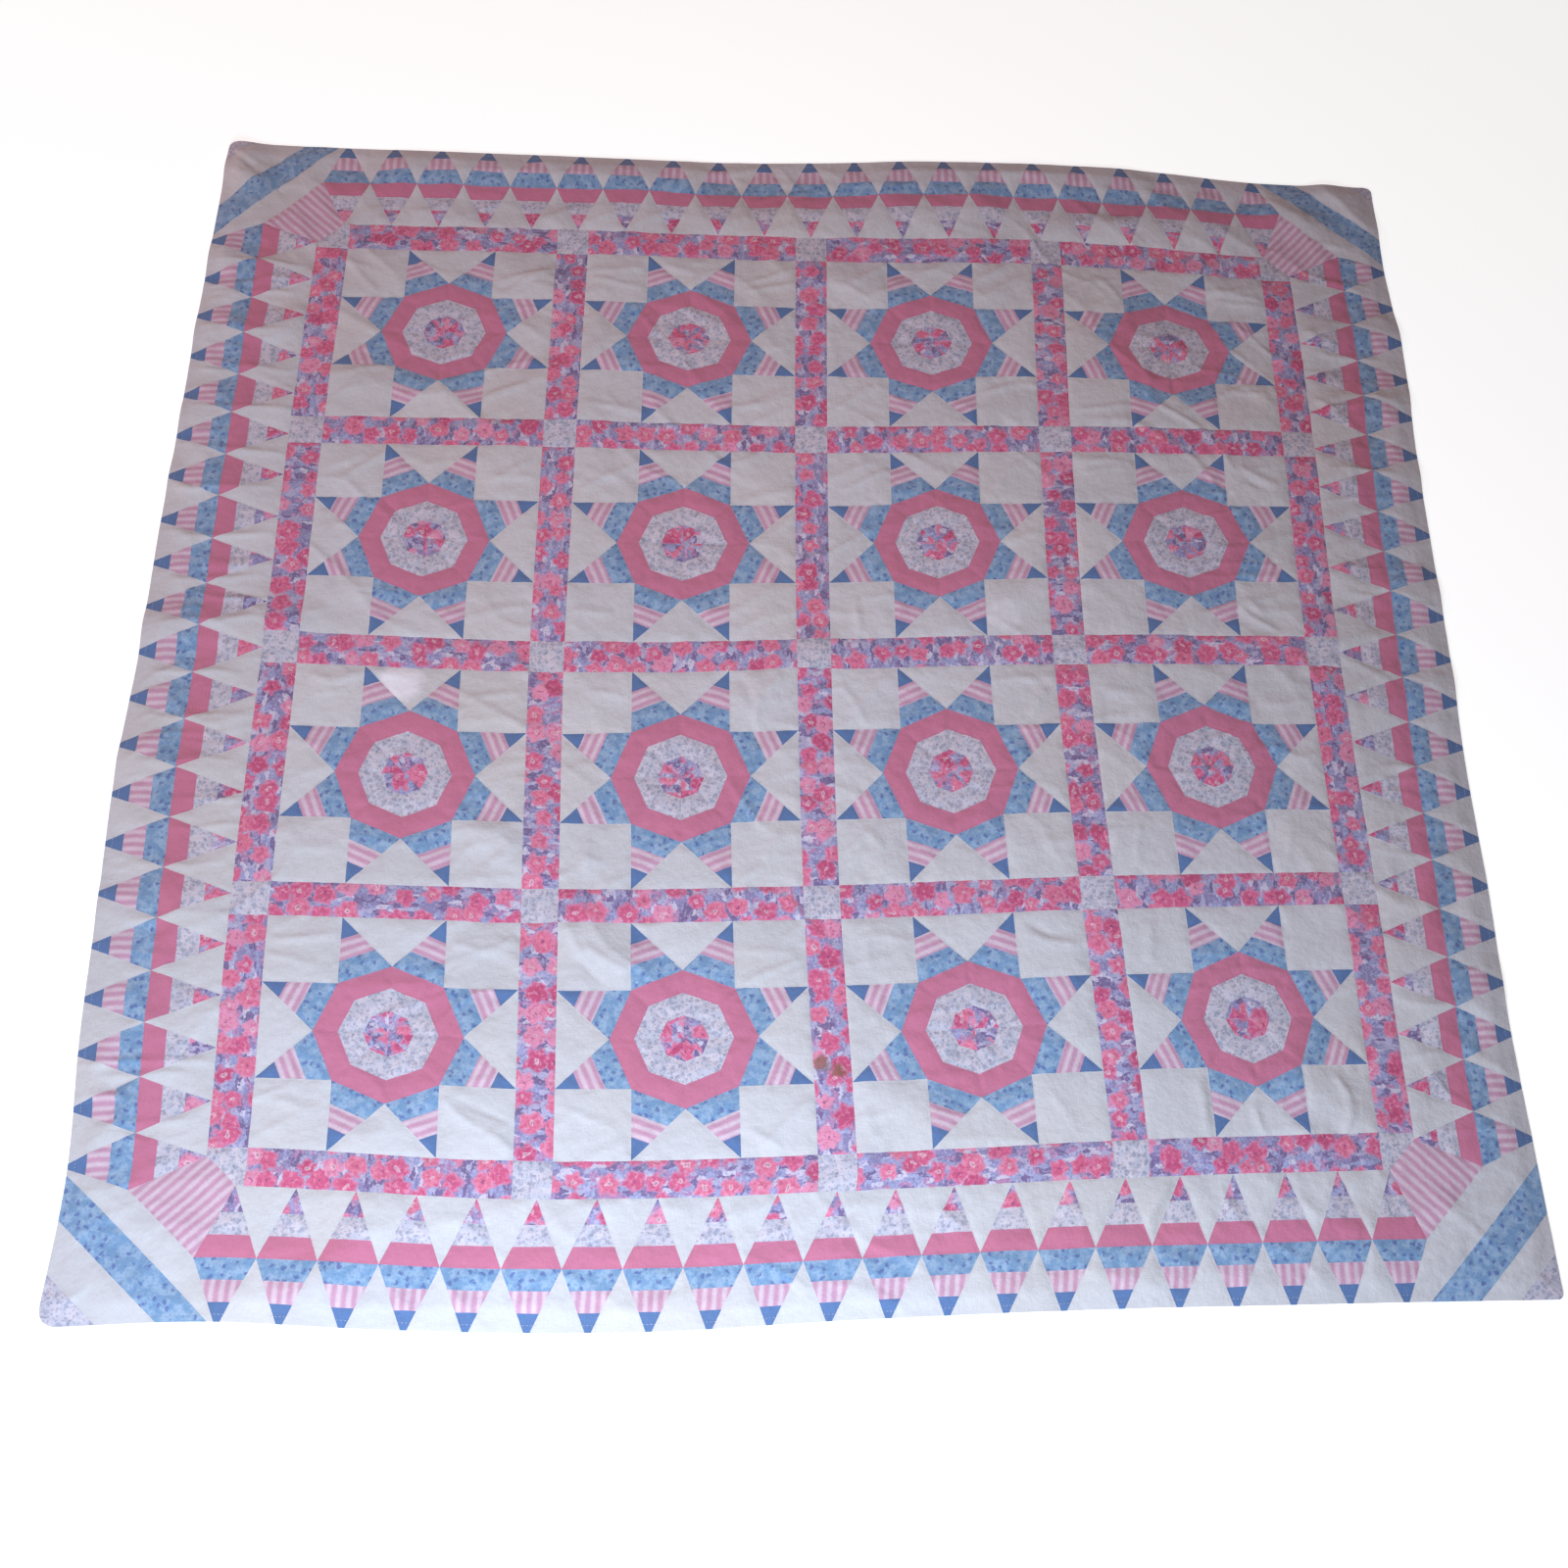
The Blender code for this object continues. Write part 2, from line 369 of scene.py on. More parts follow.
# %% Creases in the top cloth
# Start and end in hundredths of a pitch from the crossing at the foot's left corner, then the half
# width and the height in tenths of a millimetre. A trough has a negative height.
CREASES = [
    # The head row of blocks.
    (8, 389, 22, 371, 60, 34), (17, 392, 32, 378, 55, 24), (71, 368, 94, 388, 60, 45),
    (70, 376, 92, 385, 55, 36), (70, 373, 93, 380, 50, -24), (8, 328, 30, 334, 60, 36),
    (8, 316, 22, 325, 55, 32), (67, 318, 85, 325, 60, 36), (37, 389, 50, 381, 55, 28),
    (38, 320, 61, 318, 55, 28), (83, 356, 92, 347, 55, 28), (107, 385, 131, 388, 70, 36),
    (107, 381, 131, 378, 60, 30), (171, 381, 194, 388, 60, 43), (171, 377, 195, 381, 60, 34),
    (138, 390, 154, 385, 55, 30), (147, 378, 160, 387, 55, 28), (108, 318, 131, 313, 60, 41),
    (115, 324, 122, 316, 55, 24), (171, 315, 189, 325, 60, 27), (211, 376, 230, 392, 70, 36),
    (209, 381, 225, 375, 55, 28), (272, 375, 288, 388, 60, 43), (272, 385, 282, 392, 55, 30),
    (209, 316, 225, 329, 60, 32), (269, 325, 283, 332, 70, 41), (283, 332, 293, 331, 60, 32),
    (242, 387, 256, 393, 55, 27), (311, 374, 322, 388, 60, 36), (321, 388, 332, 378, 60, 36),
    (372, 383, 393, 378, 60, 41), (372, 378, 395, 374, 60, 34), (309, 318, 330, 322, 60, 32),
    (372, 329, 390, 328, 60, 30), (345, 320, 358, 312, 55, 28),
    # The next row.
    (13, 275, 33, 295, 70, 45), (8, 283, 24, 292, 55, 27), (70, 278, 89, 290, 60, 41),
    (69, 282, 89, 281, 55, 24), (8, 216, 15, 218, 60, 24), (66, 215, 89, 222, 70, 28),
    (14, 260, 22, 253, 55, 27), (108, 276, 129, 288, 60, 41), (108, 285, 126, 278, 55, 28),
    (173, 272, 191, 277, 60, 27), (106, 220, 122, 218, 60, 28), (168, 209, 186, 222, 70, 27),
    (211, 276, 230, 288, 60, 38), (209, 283, 225, 292, 55, 30), (272, 278, 286, 293, 60, 24),
    (215, 211, 216, 226, 60, 34), (218, 227, 230, 228, 55, 24), (276, 253, 290, 257, 55, 28),
    (307, 288, 328, 290, 60, 28), (309, 294, 330, 292, 55, 27), (374, 292, 390, 281, 60, 43),
    (372, 288, 388, 278, 50, -27), (367, 222, 381, 211, 60, 38), (370, 228, 376, 220, 55, 27),
    # The third row.
    (12, 191, 22, 187, 60, 45), (22, 187, 30, 191, 60, 41), (15, 182, 27, 184, 60, 24),
    (68, 179, 89, 184, 60, 34), (68, 170, 87, 173, 55, 24), (73, 125, 85, 124, 60, 41),
    (85, 124, 89, 118, 60, 41), (89, 118, 80, 112, 60, 41), (80, 112, 76, 105, 60, 34),
    (8, 121, 29, 119, 70, 27), (175, 168, 180, 182, 60, 45), (180, 182, 187, 192, 60, 38),
    (171, 190, 178, 174, 50, -24), (116, 122, 117, 107, 60, 34), (112, 117, 122, 112, 60, 28),
    (185, 124, 178, 112, 60, 38), (178, 112, 171, 105, 60, 30), (112, 184, 130, 180, 60, 27),
    (211, 175, 228, 191, 70, 46), (209, 187, 218, 170, 55, 32), (281, 175, 288, 187, 60, 36),
    (274, 191, 286, 189, 55, 28), (209, 117, 217, 126, 55, 41), (217, 126, 223, 117, 55, 41),
    (211, 110, 216, 119, 55, 28), (283, 127, 288, 112, 60, 27), (309, 186, 326, 183, 60, 27),
    (370, 181, 390, 180, 70, 32), (374, 110, 377, 129, 60, 27), (316, 110, 320, 128, 60, 24),
    # The foot row.
    (8, 84, 31, 86, 60, 36), (8, 78, 24, 74, 55, 27), (71, 82, 80, 79, 60, 43),
    (80, 79, 92, 84, 60, 36), (78, 77, 71, 70, 55, 28), (70, 26, 84, 12, 60, 41),
    (84, 12, 94, 5, 60, 36), (75, 26, 94, 14, 50, -28), (12, 28, 30, 20, 70, 23),
    (108, 87, 115, 75, 60, 45), (115, 80, 131, 70, 70, 53), (112, 76, 124, 66, 55, -34),
    (171, 65, 192, 75, 60, 41), (173, 79, 190, 77, 55, 28), (110, 22, 130, 12, 70, 24),
    (178, 5, 196, 24, 60, 41), (173, 12, 185, 5, 55, 30), (214, 84, 230, 82, 60, 30),
    (217, 89, 216, 70, 60, 28), (274, 84, 293, 77, 60, 41), (274, 89, 288, 79, 50, -27),
    (214, 19, 218, 7, 60, 27), (278, 25, 286, 12, 60, 24), (319, 89, 318, 72, 70, 34),
    (332, 28, 334, 9, 70, 45), (381, 28, 386, 19, 70, 45), (386, 19, 381, 7, 70, 41),
    (350, 19, 354, 8, 55, 30),
    # The left border.
    (-48, 387, -8, 383, 55, 49), (-46, 378, -22, 376, 50, -32), (-45, 370, -10, 369, 55, 45),
    (-47, 351, -10, 349, 60, 46), (-45, 342, -26, 340, 50, 32), (-45, 333, -8, 330, 55, 45),
    (-47, 312, -5, 310, 60, 43), (-42, 292, -5, 289, 60, 49), (-48, 272, -10, 274, 60, 38),
    (-45, 251, -7, 253, 60, 43), (-45, 231, -10, 233, 60, 36), (-45, 212, -5, 214, 60, 43),
    (-46, 192, -12, 190, 55, 36), (-45, 172, -10, 173, 55, 34), (-45, 153, -8, 155, 60, 30),
    (-45, 112, -10, 114, 60, 32), (-42, 92, -8, 94, 55, 28), (-42, 34, -12, 36, 55, 28),
    (-42, 18, -8, 19, 60, 28),
    # The head border.
    (-30, 445, 70, 444, 70, 36), (40, 437, 130, 436, 70, 32), (110, 444, 210, 445, 70, 36),
    (160, 436, 250, 436, 70, 30), (230, 445, 320, 446, 70, 34), (290, 438, 380, 436, 70, 30),
    (340, 444, 420, 442, 70, 32), (33, 413, 50, 420, 55, 34), (85, 411, 103, 420, 55, 41),
    (105, 409, 120, 418, 55, 34), (122, 411, 143, 420, 60, 41), (158, 409, 174, 417, 55, 32),
    (178, 407, 199, 413, 55, 38), (224, 410, 240, 415, 55, 30), (263, 415, 280, 410, 55, 30),
    (305, 412, 320, 420, 55, 34), (332, 419, 344, 409, 55, 32), (362, 412, 375, 407, 55, 34),
    (378, 417, 395, 406, 60, 41), (308, 395, 322, 402, 50, 32), (355, 394, 362, 401, 50, 30),
    (366, 402, 372, 394, 50, 30),
    # The right border.
    (409, 389, 442, 386, 60, 34), (409, 362, 425, 353, 60, 38), (414, 350, 442, 347, 60, 32),
    (410, 326, 428, 311, 60, 38), (430, 329, 444, 326, 55, 30), (409, 292, 428, 305, 60, 36),
    (412, 290, 442, 289, 60, 30), (411, 250, 428, 257, 60, 32), (411, 230, 442, 228, 60, 28),
    (408, 198, 424, 190, 60, 32), (407, 126, 420, 116, 60, 32), (410, 116, 440, 113, 60, 27),
    (409, 89, 420, 97, 60, 30), (408, 33, 422, 37, 60, 28),
    # The foot border.
    (20, -12, 32, -20, 60, 27), (58, -14, 70, -22, 60, 27), (108, -16, 120, -28, 60, 36),
    (144, -14, 155, -17, 55, 30), (162, -20, 185, -13, 60, 32), (202, -16, 220, -14, 55, 28),
    (237, -15, 247, -24, 60, 32), (272, -14, 290, -20, 60, 27), (309, -24, 318, -10, 60, 49),
    (318, -18, 330, -12, 55, 30), (335, -12, 340, -22, 60, 30), (362, -15, 372, -25, 60, 36),
    (30, -44, 120, -47, 60, 20), (160, -48, 270, -47, 60, 20),
    # The corners.
    (-44, 446, -30, 436, 60, 49), (-48, 438, -36, 430, 60, 45), (-46, 428, -30, 440, 50, -28),
    (-40, 410, -18, 428, 60, 41), (-30, 400, -10, 420, 60, 32), (-22, 424, -2, 444, 60, 36),
    (402, 436, 420, 420, 70, 41), (415, 412, 436, 408, 60, 32), (430, 438, 442, 424, 60, 36),
    (-44, -16, -16, -44, 70, 28), (-38, -30, -26, -42, 60, 24), (408, -12, 430, -36, 70, 28),
    (430, -20, 444, -10, 60, 28),
]
RUMPLES = 256
CREASE_WANDER = 0.014
WANDER_SIZE = 0.045
CREST = 1.35


def rumple(x, y, size, seed):
    """Random heights from -1 to 1, one in each square of the given size, joined smoothly."""
    heights = np.random.default_rng(seed).uniform(-1, 1, (RUMPLES, RUMPLES))
    column = np.floor(x / size).astype(int)
    row = np.floor(y / size).astype(int)
    part_x = x / size - column
    part_y = y / size - row
    part_x = part_x * part_x * (3 - 2 * part_x)
    part_y = part_y * part_y * (3 - 2 * part_y)
    column, row = column % RUMPLES, row % RUMPLES
    right, above = (column + 1) % RUMPLES, (row + 1) % RUMPLES
    low = heights[row, column] * (1 - part_x) + heights[row, right] * part_x
    high = heights[above, column] * (1 - part_x) + heights[above, right] * part_x
    return low * (1 - part_y) + high * part_y


def creases(x, y):
    """The summed height of the creases. Each wanders a little and runs out at both ends."""
    total = np.zeros(len(x))
    column = x / PITCH + BLOCKS_ACROSS / 2 + CREASE_WANDER * rumple(x, y, WANDER_SIZE, 70)
    row = y / PITCH + BLOCKS_ACROSS / 2 + CREASE_WANDER * rumple(x, y, WANDER_SIZE, 71)
    for *ends, width, height in CREASES:
        share, away = from_line(column, row, *(end / 100 for end in ends))
        taper = np.sqrt(4 * share * (1 - share))
        total += height * taper * np.exp(-((away * PITCH * 10000 / width) ** CREST))
    return total / 10000


print(len(CREASES), "creases run across the patches")

# %% [markdown]
# ## Pillows, puckers and wrinkles
# Between its seams each patch swells a little, like a pillow, and the seams pull a narrow valley
# with small puckers beside it. Slow waves keep the rest from lying flat, and fine wrinkles wander
# over it, slantwise and level, with more of them in the border. All of them together stay under
# `RELIEF_MOST`, and they grow calmer towards the stiffer hem.

# %% Relief of the top cloth
PILLOW = 0.0009
PILLOW_REACH = 0.012
SEAM_DEPTH = 0.0006
SEAM_WIDTH = 0.003
PUCKER = 0.0009
RELIEF_BASE = 0.0014
RELIEF_MOST = 0.010
CALM_EDGE = 0.03
CALM_SHARE = 0.2
WRINKLE_WIDTH = 0.21

# Height, size and seed of the slow waves.
WAVES = [(0.0011, 0.13, 4), (0.0008, 0.052, 5)]
# Height, size, stretch, direction and seed of the wrinkles that run everywhere.
WRINKLES = [
    (0.0030, 0.055, 2.6, 0.6, 20),
    (0.0030, 0.060, 2.4, 2.4, 30),
    (0.0020, 0.045, 3.0, 0.1, 40),
]
BORDER_WRINKLE = 0.0058
BORDER_OVERLAP = 0.02
BORDER_FADE = 0.05


def wrinkles(x, y, size, stretch, turn, seed):
    """Narrow ridges from 0 to 1 that wander in one direction, where slow random heights cross 0."""
    run = x * math.cos(turn) + y * math.sin(turn)
    across = y * math.cos(turn) - x * math.sin(turn)
    across = across + 0.4 * size * rumple(x, y, 1.5 * size, seed + 1)
    height = rumple(run / stretch, across, size, seed)
    patchy = np.clip(0.6 + rumple(x, y, 3.1 * size, seed + 2), 0, 1)
    return patchy * np.exp(-(np.abs(height / WRINKLE_WIDTH) ** CREST))


def border_wrinkles(x, y):
    """The border's own wrinkles, from 0 to 1, which fade out at the inner strips."""
    out = np.maximum(np.abs(x), np.abs(y)) - FIELD
    share = np.clip((out + BORDER_OVERLAP) / BORDER_FADE, 0, 1)
    sideways = wrinkles(x, y, 0.040, 3.2, 0, 50) * np.where(x < 0, 1, 0.6)
    endways = wrinkles(x, y, 0.046, 3.2, 0.25, 60) * np.where(y > 0, 0.9, 0.4)
    return share * np.where(np.abs(x) > np.abs(y), sideways, endways)


def relief(x, y, seam):
    """How far the top cloth stands over or under a smooth quilt, from its distance to a seam."""
    by_seam = np.exp(-((seam / PILLOW_REACH) ** 2))
    total = RELIEF_BASE + PILLOW * (1 - by_seam) + PUCKER * by_seam * rumple(x, y, 0.012, 3)
    total -= SEAM_DEPTH * np.exp(-((seam / SEAM_WIDTH) ** 2))
    for height, size, seed in WAVES:
        total += height * rumple(x, y, size, seed)
    for height, size, stretch, turn, seed in WRINKLES:
        total += height * wrinkles(x, y, size, stretch, turn, seed)
    total += BORDER_WRINKLE * border_wrinkles(x, y) + creases(x, y)
    return RELIEF_MOST * np.tanh(total / RELIEF_MOST)


def top_height(x, y, edge, seam):
    """How high the top cloth lies, from its distances to the quilt's edge and to a seam."""
    calm = np.clip(edge / CALM_EDGE, CALM_SHARE, 1)
    return lift(x, y) + thickness(edge) + relief(x, y, seam) * calm


print("the cloth's own relief stays under", RELIEF_MOST * 1000, "mm")

# %% [markdown]
# ## Sewing patches into one flat cloth
# `Patchwork` holds one row of the quilt while it is flat. `lay` makes a grid of small cells on a
# parallelogram with `create_grid`, `trim` cuts it along a line with `bisect_plane`, and `dress`
# says which cotton it is and which way its threads run. A rhombus cut into cells has a useful
# property: the short diagonals of its cells run straight across it, so `triangulate` gives a
# diamond just the edges that its strips are sewn along.

# %% Patchwork
CELLS = 24
COTTONS = ["cream", "rose", "blue_print", "navy", "stripe", "speckle", "floral"]
CUT_NEAR = 1e-6
CUTTING_ERROR = math.radians(8)
BOLT = 4
chance = np.random.default_rng(11)


class Patchwork:
    """Patches sewn edge to edge on one flat mesh, before they settle on the floor."""

    def __init__(self, name):
        self.name = name
        self.form = bmesh.new()
        self.patch = self.form.faces.layers.int.new("patch")
        # Patch number 0 means a face that belongs to no patch yet.
        self.patches = [(0, 0, 0, 0, 0, 0)]

    def lay(self, corner, side_a, side_b, cells_a, cells_b):
        """A grid of cells on the parallelogram that two sides span from a corner."""
        middle = corner + (side_a + side_b) / 2
        place = Matrix(
            (
                (side_a.x, side_b.x, 0, middle.x),
                (side_a.y, side_b.y, 0, middle.y),
                (0, 0, 1, 0),
                (0, 0, 0, 1),
            )
        )
        bmesh.ops.create_grid(
            self.form, x_segments=cells_a, y_segments=cells_b, size=0.5, matrix=place
        )

    def fresh(self):
        """The faces that belong to no patch yet."""
        return [face for face in self.form.faces if face[self.patch] == 0]

    def trim(self, point, outward):
        """Cuts away what lies outward of a line through a point, from the fresh faces."""
        faces = self.fresh()
        edges = {edge for face in faces for edge in face.edges}
        corners = {corner for face in faces for corner in face.verts}
        bmesh.ops.bisect_plane(
            self.form,
            geom=[*faces, *edges, *corners],
            dist=CUT_NEAR,
            plane_co=point.to_3d(),
            plane_no=outward.to_3d(),
            clear_outer=True,
        )

    def dress(self, cotton, turn, choose=None):
        """Makes the fresh faces, or those that choose picks, one patch of a cotton."""
        drawn = chance.uniform(0, 1, 4)
        if cotton != "stripe":
            turn += math.pi / 2 * int(4 * drawn[3]) + CUTTING_ERROR * (drawn[2] - 0.5)
        faces = [face for face in self.fresh() if choose is None or choose(face)]
        origin = sum((face.calc_center_median() for face in faces), Vector()) / len(faces)
        for face in faces:
            face[self.patch] = len(self.patches)
            face.material_index = COTTONS.index(cotton)
        shift_u, shift_v = BOLT * drawn[:2]
        self.patches.append((turn, origin.x, origin.y, shift_u, shift_v, drawn[2]))

    def triangle(self, apex, side_a, side_b, cells):
        """A grid on the triangle between two sides that meet at the apex."""
        self.lay(apex, side_a, side_b, cells, cells)
        base = side_b - side_a
        outward = Vector((base.y, -base.x))
        if outward.dot(side_a) < 0:
            outward.negate()
        self.trim(apex + side_a, outward)


print("the patches are cut from", len(COTTONS), "cottons")

# %% [markdown]
# ## The star block
# Eight diamonds meet in the middle of a block. The eight corners of the ring where they touch are
# `REACH` from the middle, which also is the side of a diamond, of a corner square, and of the short
# sides of the cream triangles. Every diamond is sewn from six strips across its long axis:
# flowers, speckles, rose, blue, stripes, and a navy tip.

# %% Star block
REACH = BLOCK * (1 - math.sqrt(0.5))
DIAMOND_LONG = 2 * REACH * math.cos(math.pi / 8)
STRIPS = ["floral", "speckle", "rose", "blue_print", "stripe", "navy"]


def towards(angle, length=1.0):
    """A flat vector of a length in a direction."""
    return Vector((length * math.cos(angle), length * math.sin(angle)))


def sew_diamond(work, middle, first):
    """One star point, between the directions first and first plus an eighth of a turn."""
    side_a = towards(first, REACH)
    side_b = towards(first + math.pi / 4, REACH)
    work.lay(middle, side_a, side_b, CELLS, CELLS)
    bmesh.ops.triangulate(work.form, faces=work.fresh(), quad_method="SHORT_EDGE")
    axis = towards(first + math.pi / 8)
    across = first + math.pi / 8 + math.pi / 2

    def strip_of(face):
        away = face.calc_center_median().to_2d() - middle
        return int(len(STRIPS) * away.dot(axis) / DIAMOND_LONG)

    for number, cotton in enumerate(STRIPS):
        work.dress(cotton, across, lambda face: strip_of(face) == number)


def sew_block(work, middle):
    """A whole star block: eight points, four corner squares and four side triangles."""
    for eighth in range(8):
        sew_diamond(work, middle, eighth * math.pi / 4)
    for quarter in range(4):
        straight = quarter * math.pi / 2
        ring = middle + towards(straight + math.pi / 4, REACH)
        along_x = towards(straight, REACH)
        along_y = towards(straight + math.pi / 2, REACH)
        work.lay(ring, along_x, along_y, CELLS, CELLS)
        work.dress("cream", straight)
        apex = middle + towards(straight, REACH)
        up = towards(straight + math.pi / 4, REACH)
        down = towards(straight - math.pi / 4, REACH)
        work.triangle(apex, up, down, CELLS)
        work.dress("cream", straight)


print("a star point is", round(1000 * DIAMOND_LONG), "mm long")
print("its strips are", round(1000 * DIAMOND_LONG / len(STRIPS)), "mm deep")
print("its grid has cells of", round(1000 * REACH / CELLS, 1), "mm")

# %% [markdown]
# ## Nodes written as sums
# A cotton print is a sum of simple patterns, so its material is easiest to read as arithmetic.
# `Wire` wraps one output of a node and takes part in Python's own sums, each of which adds a Math
# node. `Dyeing` builds one material, and its `add` puts in any other node: its type, its settings,
# and what its inputs are fed.

# %% Wires and dyes
THREAD = 0.0016


def dye(red, green, blue):
    """A colour from 0 to 255 as a dyer reads it off a card, turned into the light it reflects."""
    parts = [part / 255 for part in (red, green, blue)]
    return tuple(p / 12.92 if p <= 0.04045 else ((p + 0.055) / 1.055) ** 2.4 for p in parts) + (1,)


class Wire:
    """One output of a node, which takes part in sums."""

    def __init__(self, dyeing, socket):
        self.dyeing = dyeing
        self.socket = socket

    def maths(self, operation, first, second):
        return self.dyeing.add("ShaderNodeMath", {"operation": operation}, {0: first, 1: second})

    def __add__(self, other):
        return self.maths("ADD", self, other)

    __radd__ = __add__

    def __sub__(self, other):
        return self.maths("SUBTRACT", self, other)

    def __rsub__(self, other):
        return self.maths("SUBTRACT", other, self)

    def __mul__(self, other):
        return self.maths("MULTIPLY", self, other)

    __rmul__ = __mul__

    def __gt__(self, other):
        return self.maths("GREATER_THAN", self, other)


class Dyeing:
    """A cotton's material while it is being made."""

    def __init__(self, name, roughness=0.88, sheen=0.25):
        self.material = bpy.data.materials.new(name)
        self.material.use_nodes = True
        self.tree = self.material.node_tree
        self.shader = self.tree.nodes["Principled BSDF"]
        self.shader.inputs["Roughness"].default_value = roughness
        self.shader.inputs["Specular IOR Level"].default_value = 0.25
        self.shader.inputs["Sheen Weight"].default_value = sheen
        self.shader.inputs["Sheen Roughness"].default_value = 0.6

    def add(self, kind, settings=None, inputs=None, output=0):
        """Adds a node, and returns one of its outputs."""
        node = self.tree.nodes.new(kind)
        for name, value in (settings or {}).items():
            if name == "stops":
                self.set_stops(node.color_ramp, value)
            else:
                setattr(node, name, value)
        for name, value in (inputs or {}).items():
            if isinstance(value, Wire):
                self.tree.links.new(value.socket, node.inputs[name])
            else:
                node.inputs[name].default_value = value
        return Wire(self, node.outputs[output])

    def set_stops(self, ramp, stops):
        """Sets a ramp to steps of (place, colour)."""
        ramp.interpolation = "CONSTANT"
        while len(ramp.elements) < len(stops):
            ramp.elements.new(0.5)
        for element, (place, colour) in zip(ramp.elements, stops):
            element.position = place
            element.color = colour

    def vectors(self, operation, first, second=(0, 0, 0), output=0):
        inputs = {0: first, 1: second}
        return self.add("ShaderNodeVectorMath", {"operation": operation}, inputs, output)

    def mix(self, share, first, second, blend="MIX"):
        settings = {"data_type": "RGBA", "blend_type": blend, "clamp_factor": True}
        return self.add("ShaderNodeMix", settings, {0: share, 6: first, 7: second}, 2)

    def noise(self, where, size, detail=2.0, output=0):
        inputs = {"Vector": where, "Scale": 1 / size, "Detail": detail, "Roughness": 0.55}
        return self.add("ShaderNodeTexNoise", {"noise_dimensions": "2D"}, inputs, output)

    def cells(self, where, size, output, randomness=0.9):
        inputs = {"Vector": where, "Scale": 1 / size, "Randomness": randomness}
        return self.add("ShaderNodeTexVoronoi", {"voronoi_dimensions": "2D"}, inputs, output)

    def ramp(self, value, *stops):
        return self.add("ShaderNodeValToRGB", {"stops": stops}, {0: value})

    def part(self, vector, number):
        return self.add("ShaderNodeSeparateXYZ", None, {0: vector}, number)

    def shaken(self, where, size, amount):
        """Coordinates pushed about, so that a pattern's edges turn out drawn by hand."""
        push = self.vectors("SUBTRACT", self.noise(where, size, 3.0, 1), (0.5, 0.5, 0.5))
        return self.vectors("ADD", where, self.vectors("MULTIPLY", push, (amount, amount, 0)))

    def fades(self, value, low, high):
        """A value turned into a share from 0 at low to 1 at high, with soft ends."""
        settings = {"interpolation_type": "SMOOTHSTEP"}
        inputs = {0: value, 1: low, 2: high}
        return self.add("ShaderNodeMapRange", settings, inputs)

    def weave(self, where):
        """Uneven threads both ways, from 0 to 2 with 1 in the middle."""
        warp = self.noise(self.vectors("MULTIPLY", where, (1, 0.12, 1)), THREAD)
        weft = self.noise(self.vectors("MULTIPLY", where, (0.12, 1, 1)), THREAD)
        return warp + weft

    def shaded(self, colour, light):
        """A colour made lighter or darker."""
        grey = self.add("ShaderNodeCombineXYZ", None, {0: light, 1: light, 2: light})
        return self.mix(1.0, colour, grey, "MULTIPLY")

    def feed(self, name, wire):
        """Links a wire to one input of the material's shader."""
        self.tree.links.new(wire.socket, self.shader.inputs[name])

    def emboss(self, height, strength, distance):
        """Gives the surface a fine relief of its own."""
        inputs = {"Height": height, "Strength": strength, "Distance": distance}
        self.feed("Normal", self.add("ShaderNodeBump", None, inputs))


print("a cotton dyed to 128 of 255 reflects", round(dye(128, 128, 128)[0], 2), "of the light")

# %% [markdown]
# ## What all the cottons share
# Whatever is printed on it, each cotton is a plain weave of slightly uneven threads, washed soft.
# So every material ends in `weave_and_wear`: threads thicker and thinner both ways, a tone of the
# patch's own, painted shade that darkens the cloth near each seam, and the years: faint yellowing,
# a pair of brown stains, and two pale spots on the cream. Those belong to the quilt and not to a
# patch, so they read Object coordinates, while the threads read the patch's own flat coordinates.

# %% Weave and wear
materials = {}
THREAD_SHADE = 0.16
MOTTLE_SHADE = 0.10
TONE_SHADE = 0.05
# Painted shade at the seams: how much darker the cloth is painted there, and over what share of the
# seam's reach.
SEAM_PAINTED_SHADE = 0.02
SEAM_PAINTED_SHADE_REACH = 0.22
AGE_SHARE = 0.35
STAIN_SHARE = 0.8
CLOTH_TOP = 0.004

# Middle x and y and radius of each stain. A pale spot has its strength too.
STAINS = [(-0.004, -0.660, 0.017), (0.020, -0.670, 0.014)]
PALE_SPOTS = [(-0.627, -0.046, 0.042, 0.85), (0.295, 0.081, 0.036, 0.35)]


def blot(dyeing, where, x, y, radius):
    """A share of 1 in the middle of a round blot, fading to 0 at its rim."""
    away = dyeing.vectors("DISTANCE", where, (x, y, CLOTH_TOP), 1)
    return 1 - dyeing.fades(away, radius * 0.5, radius)


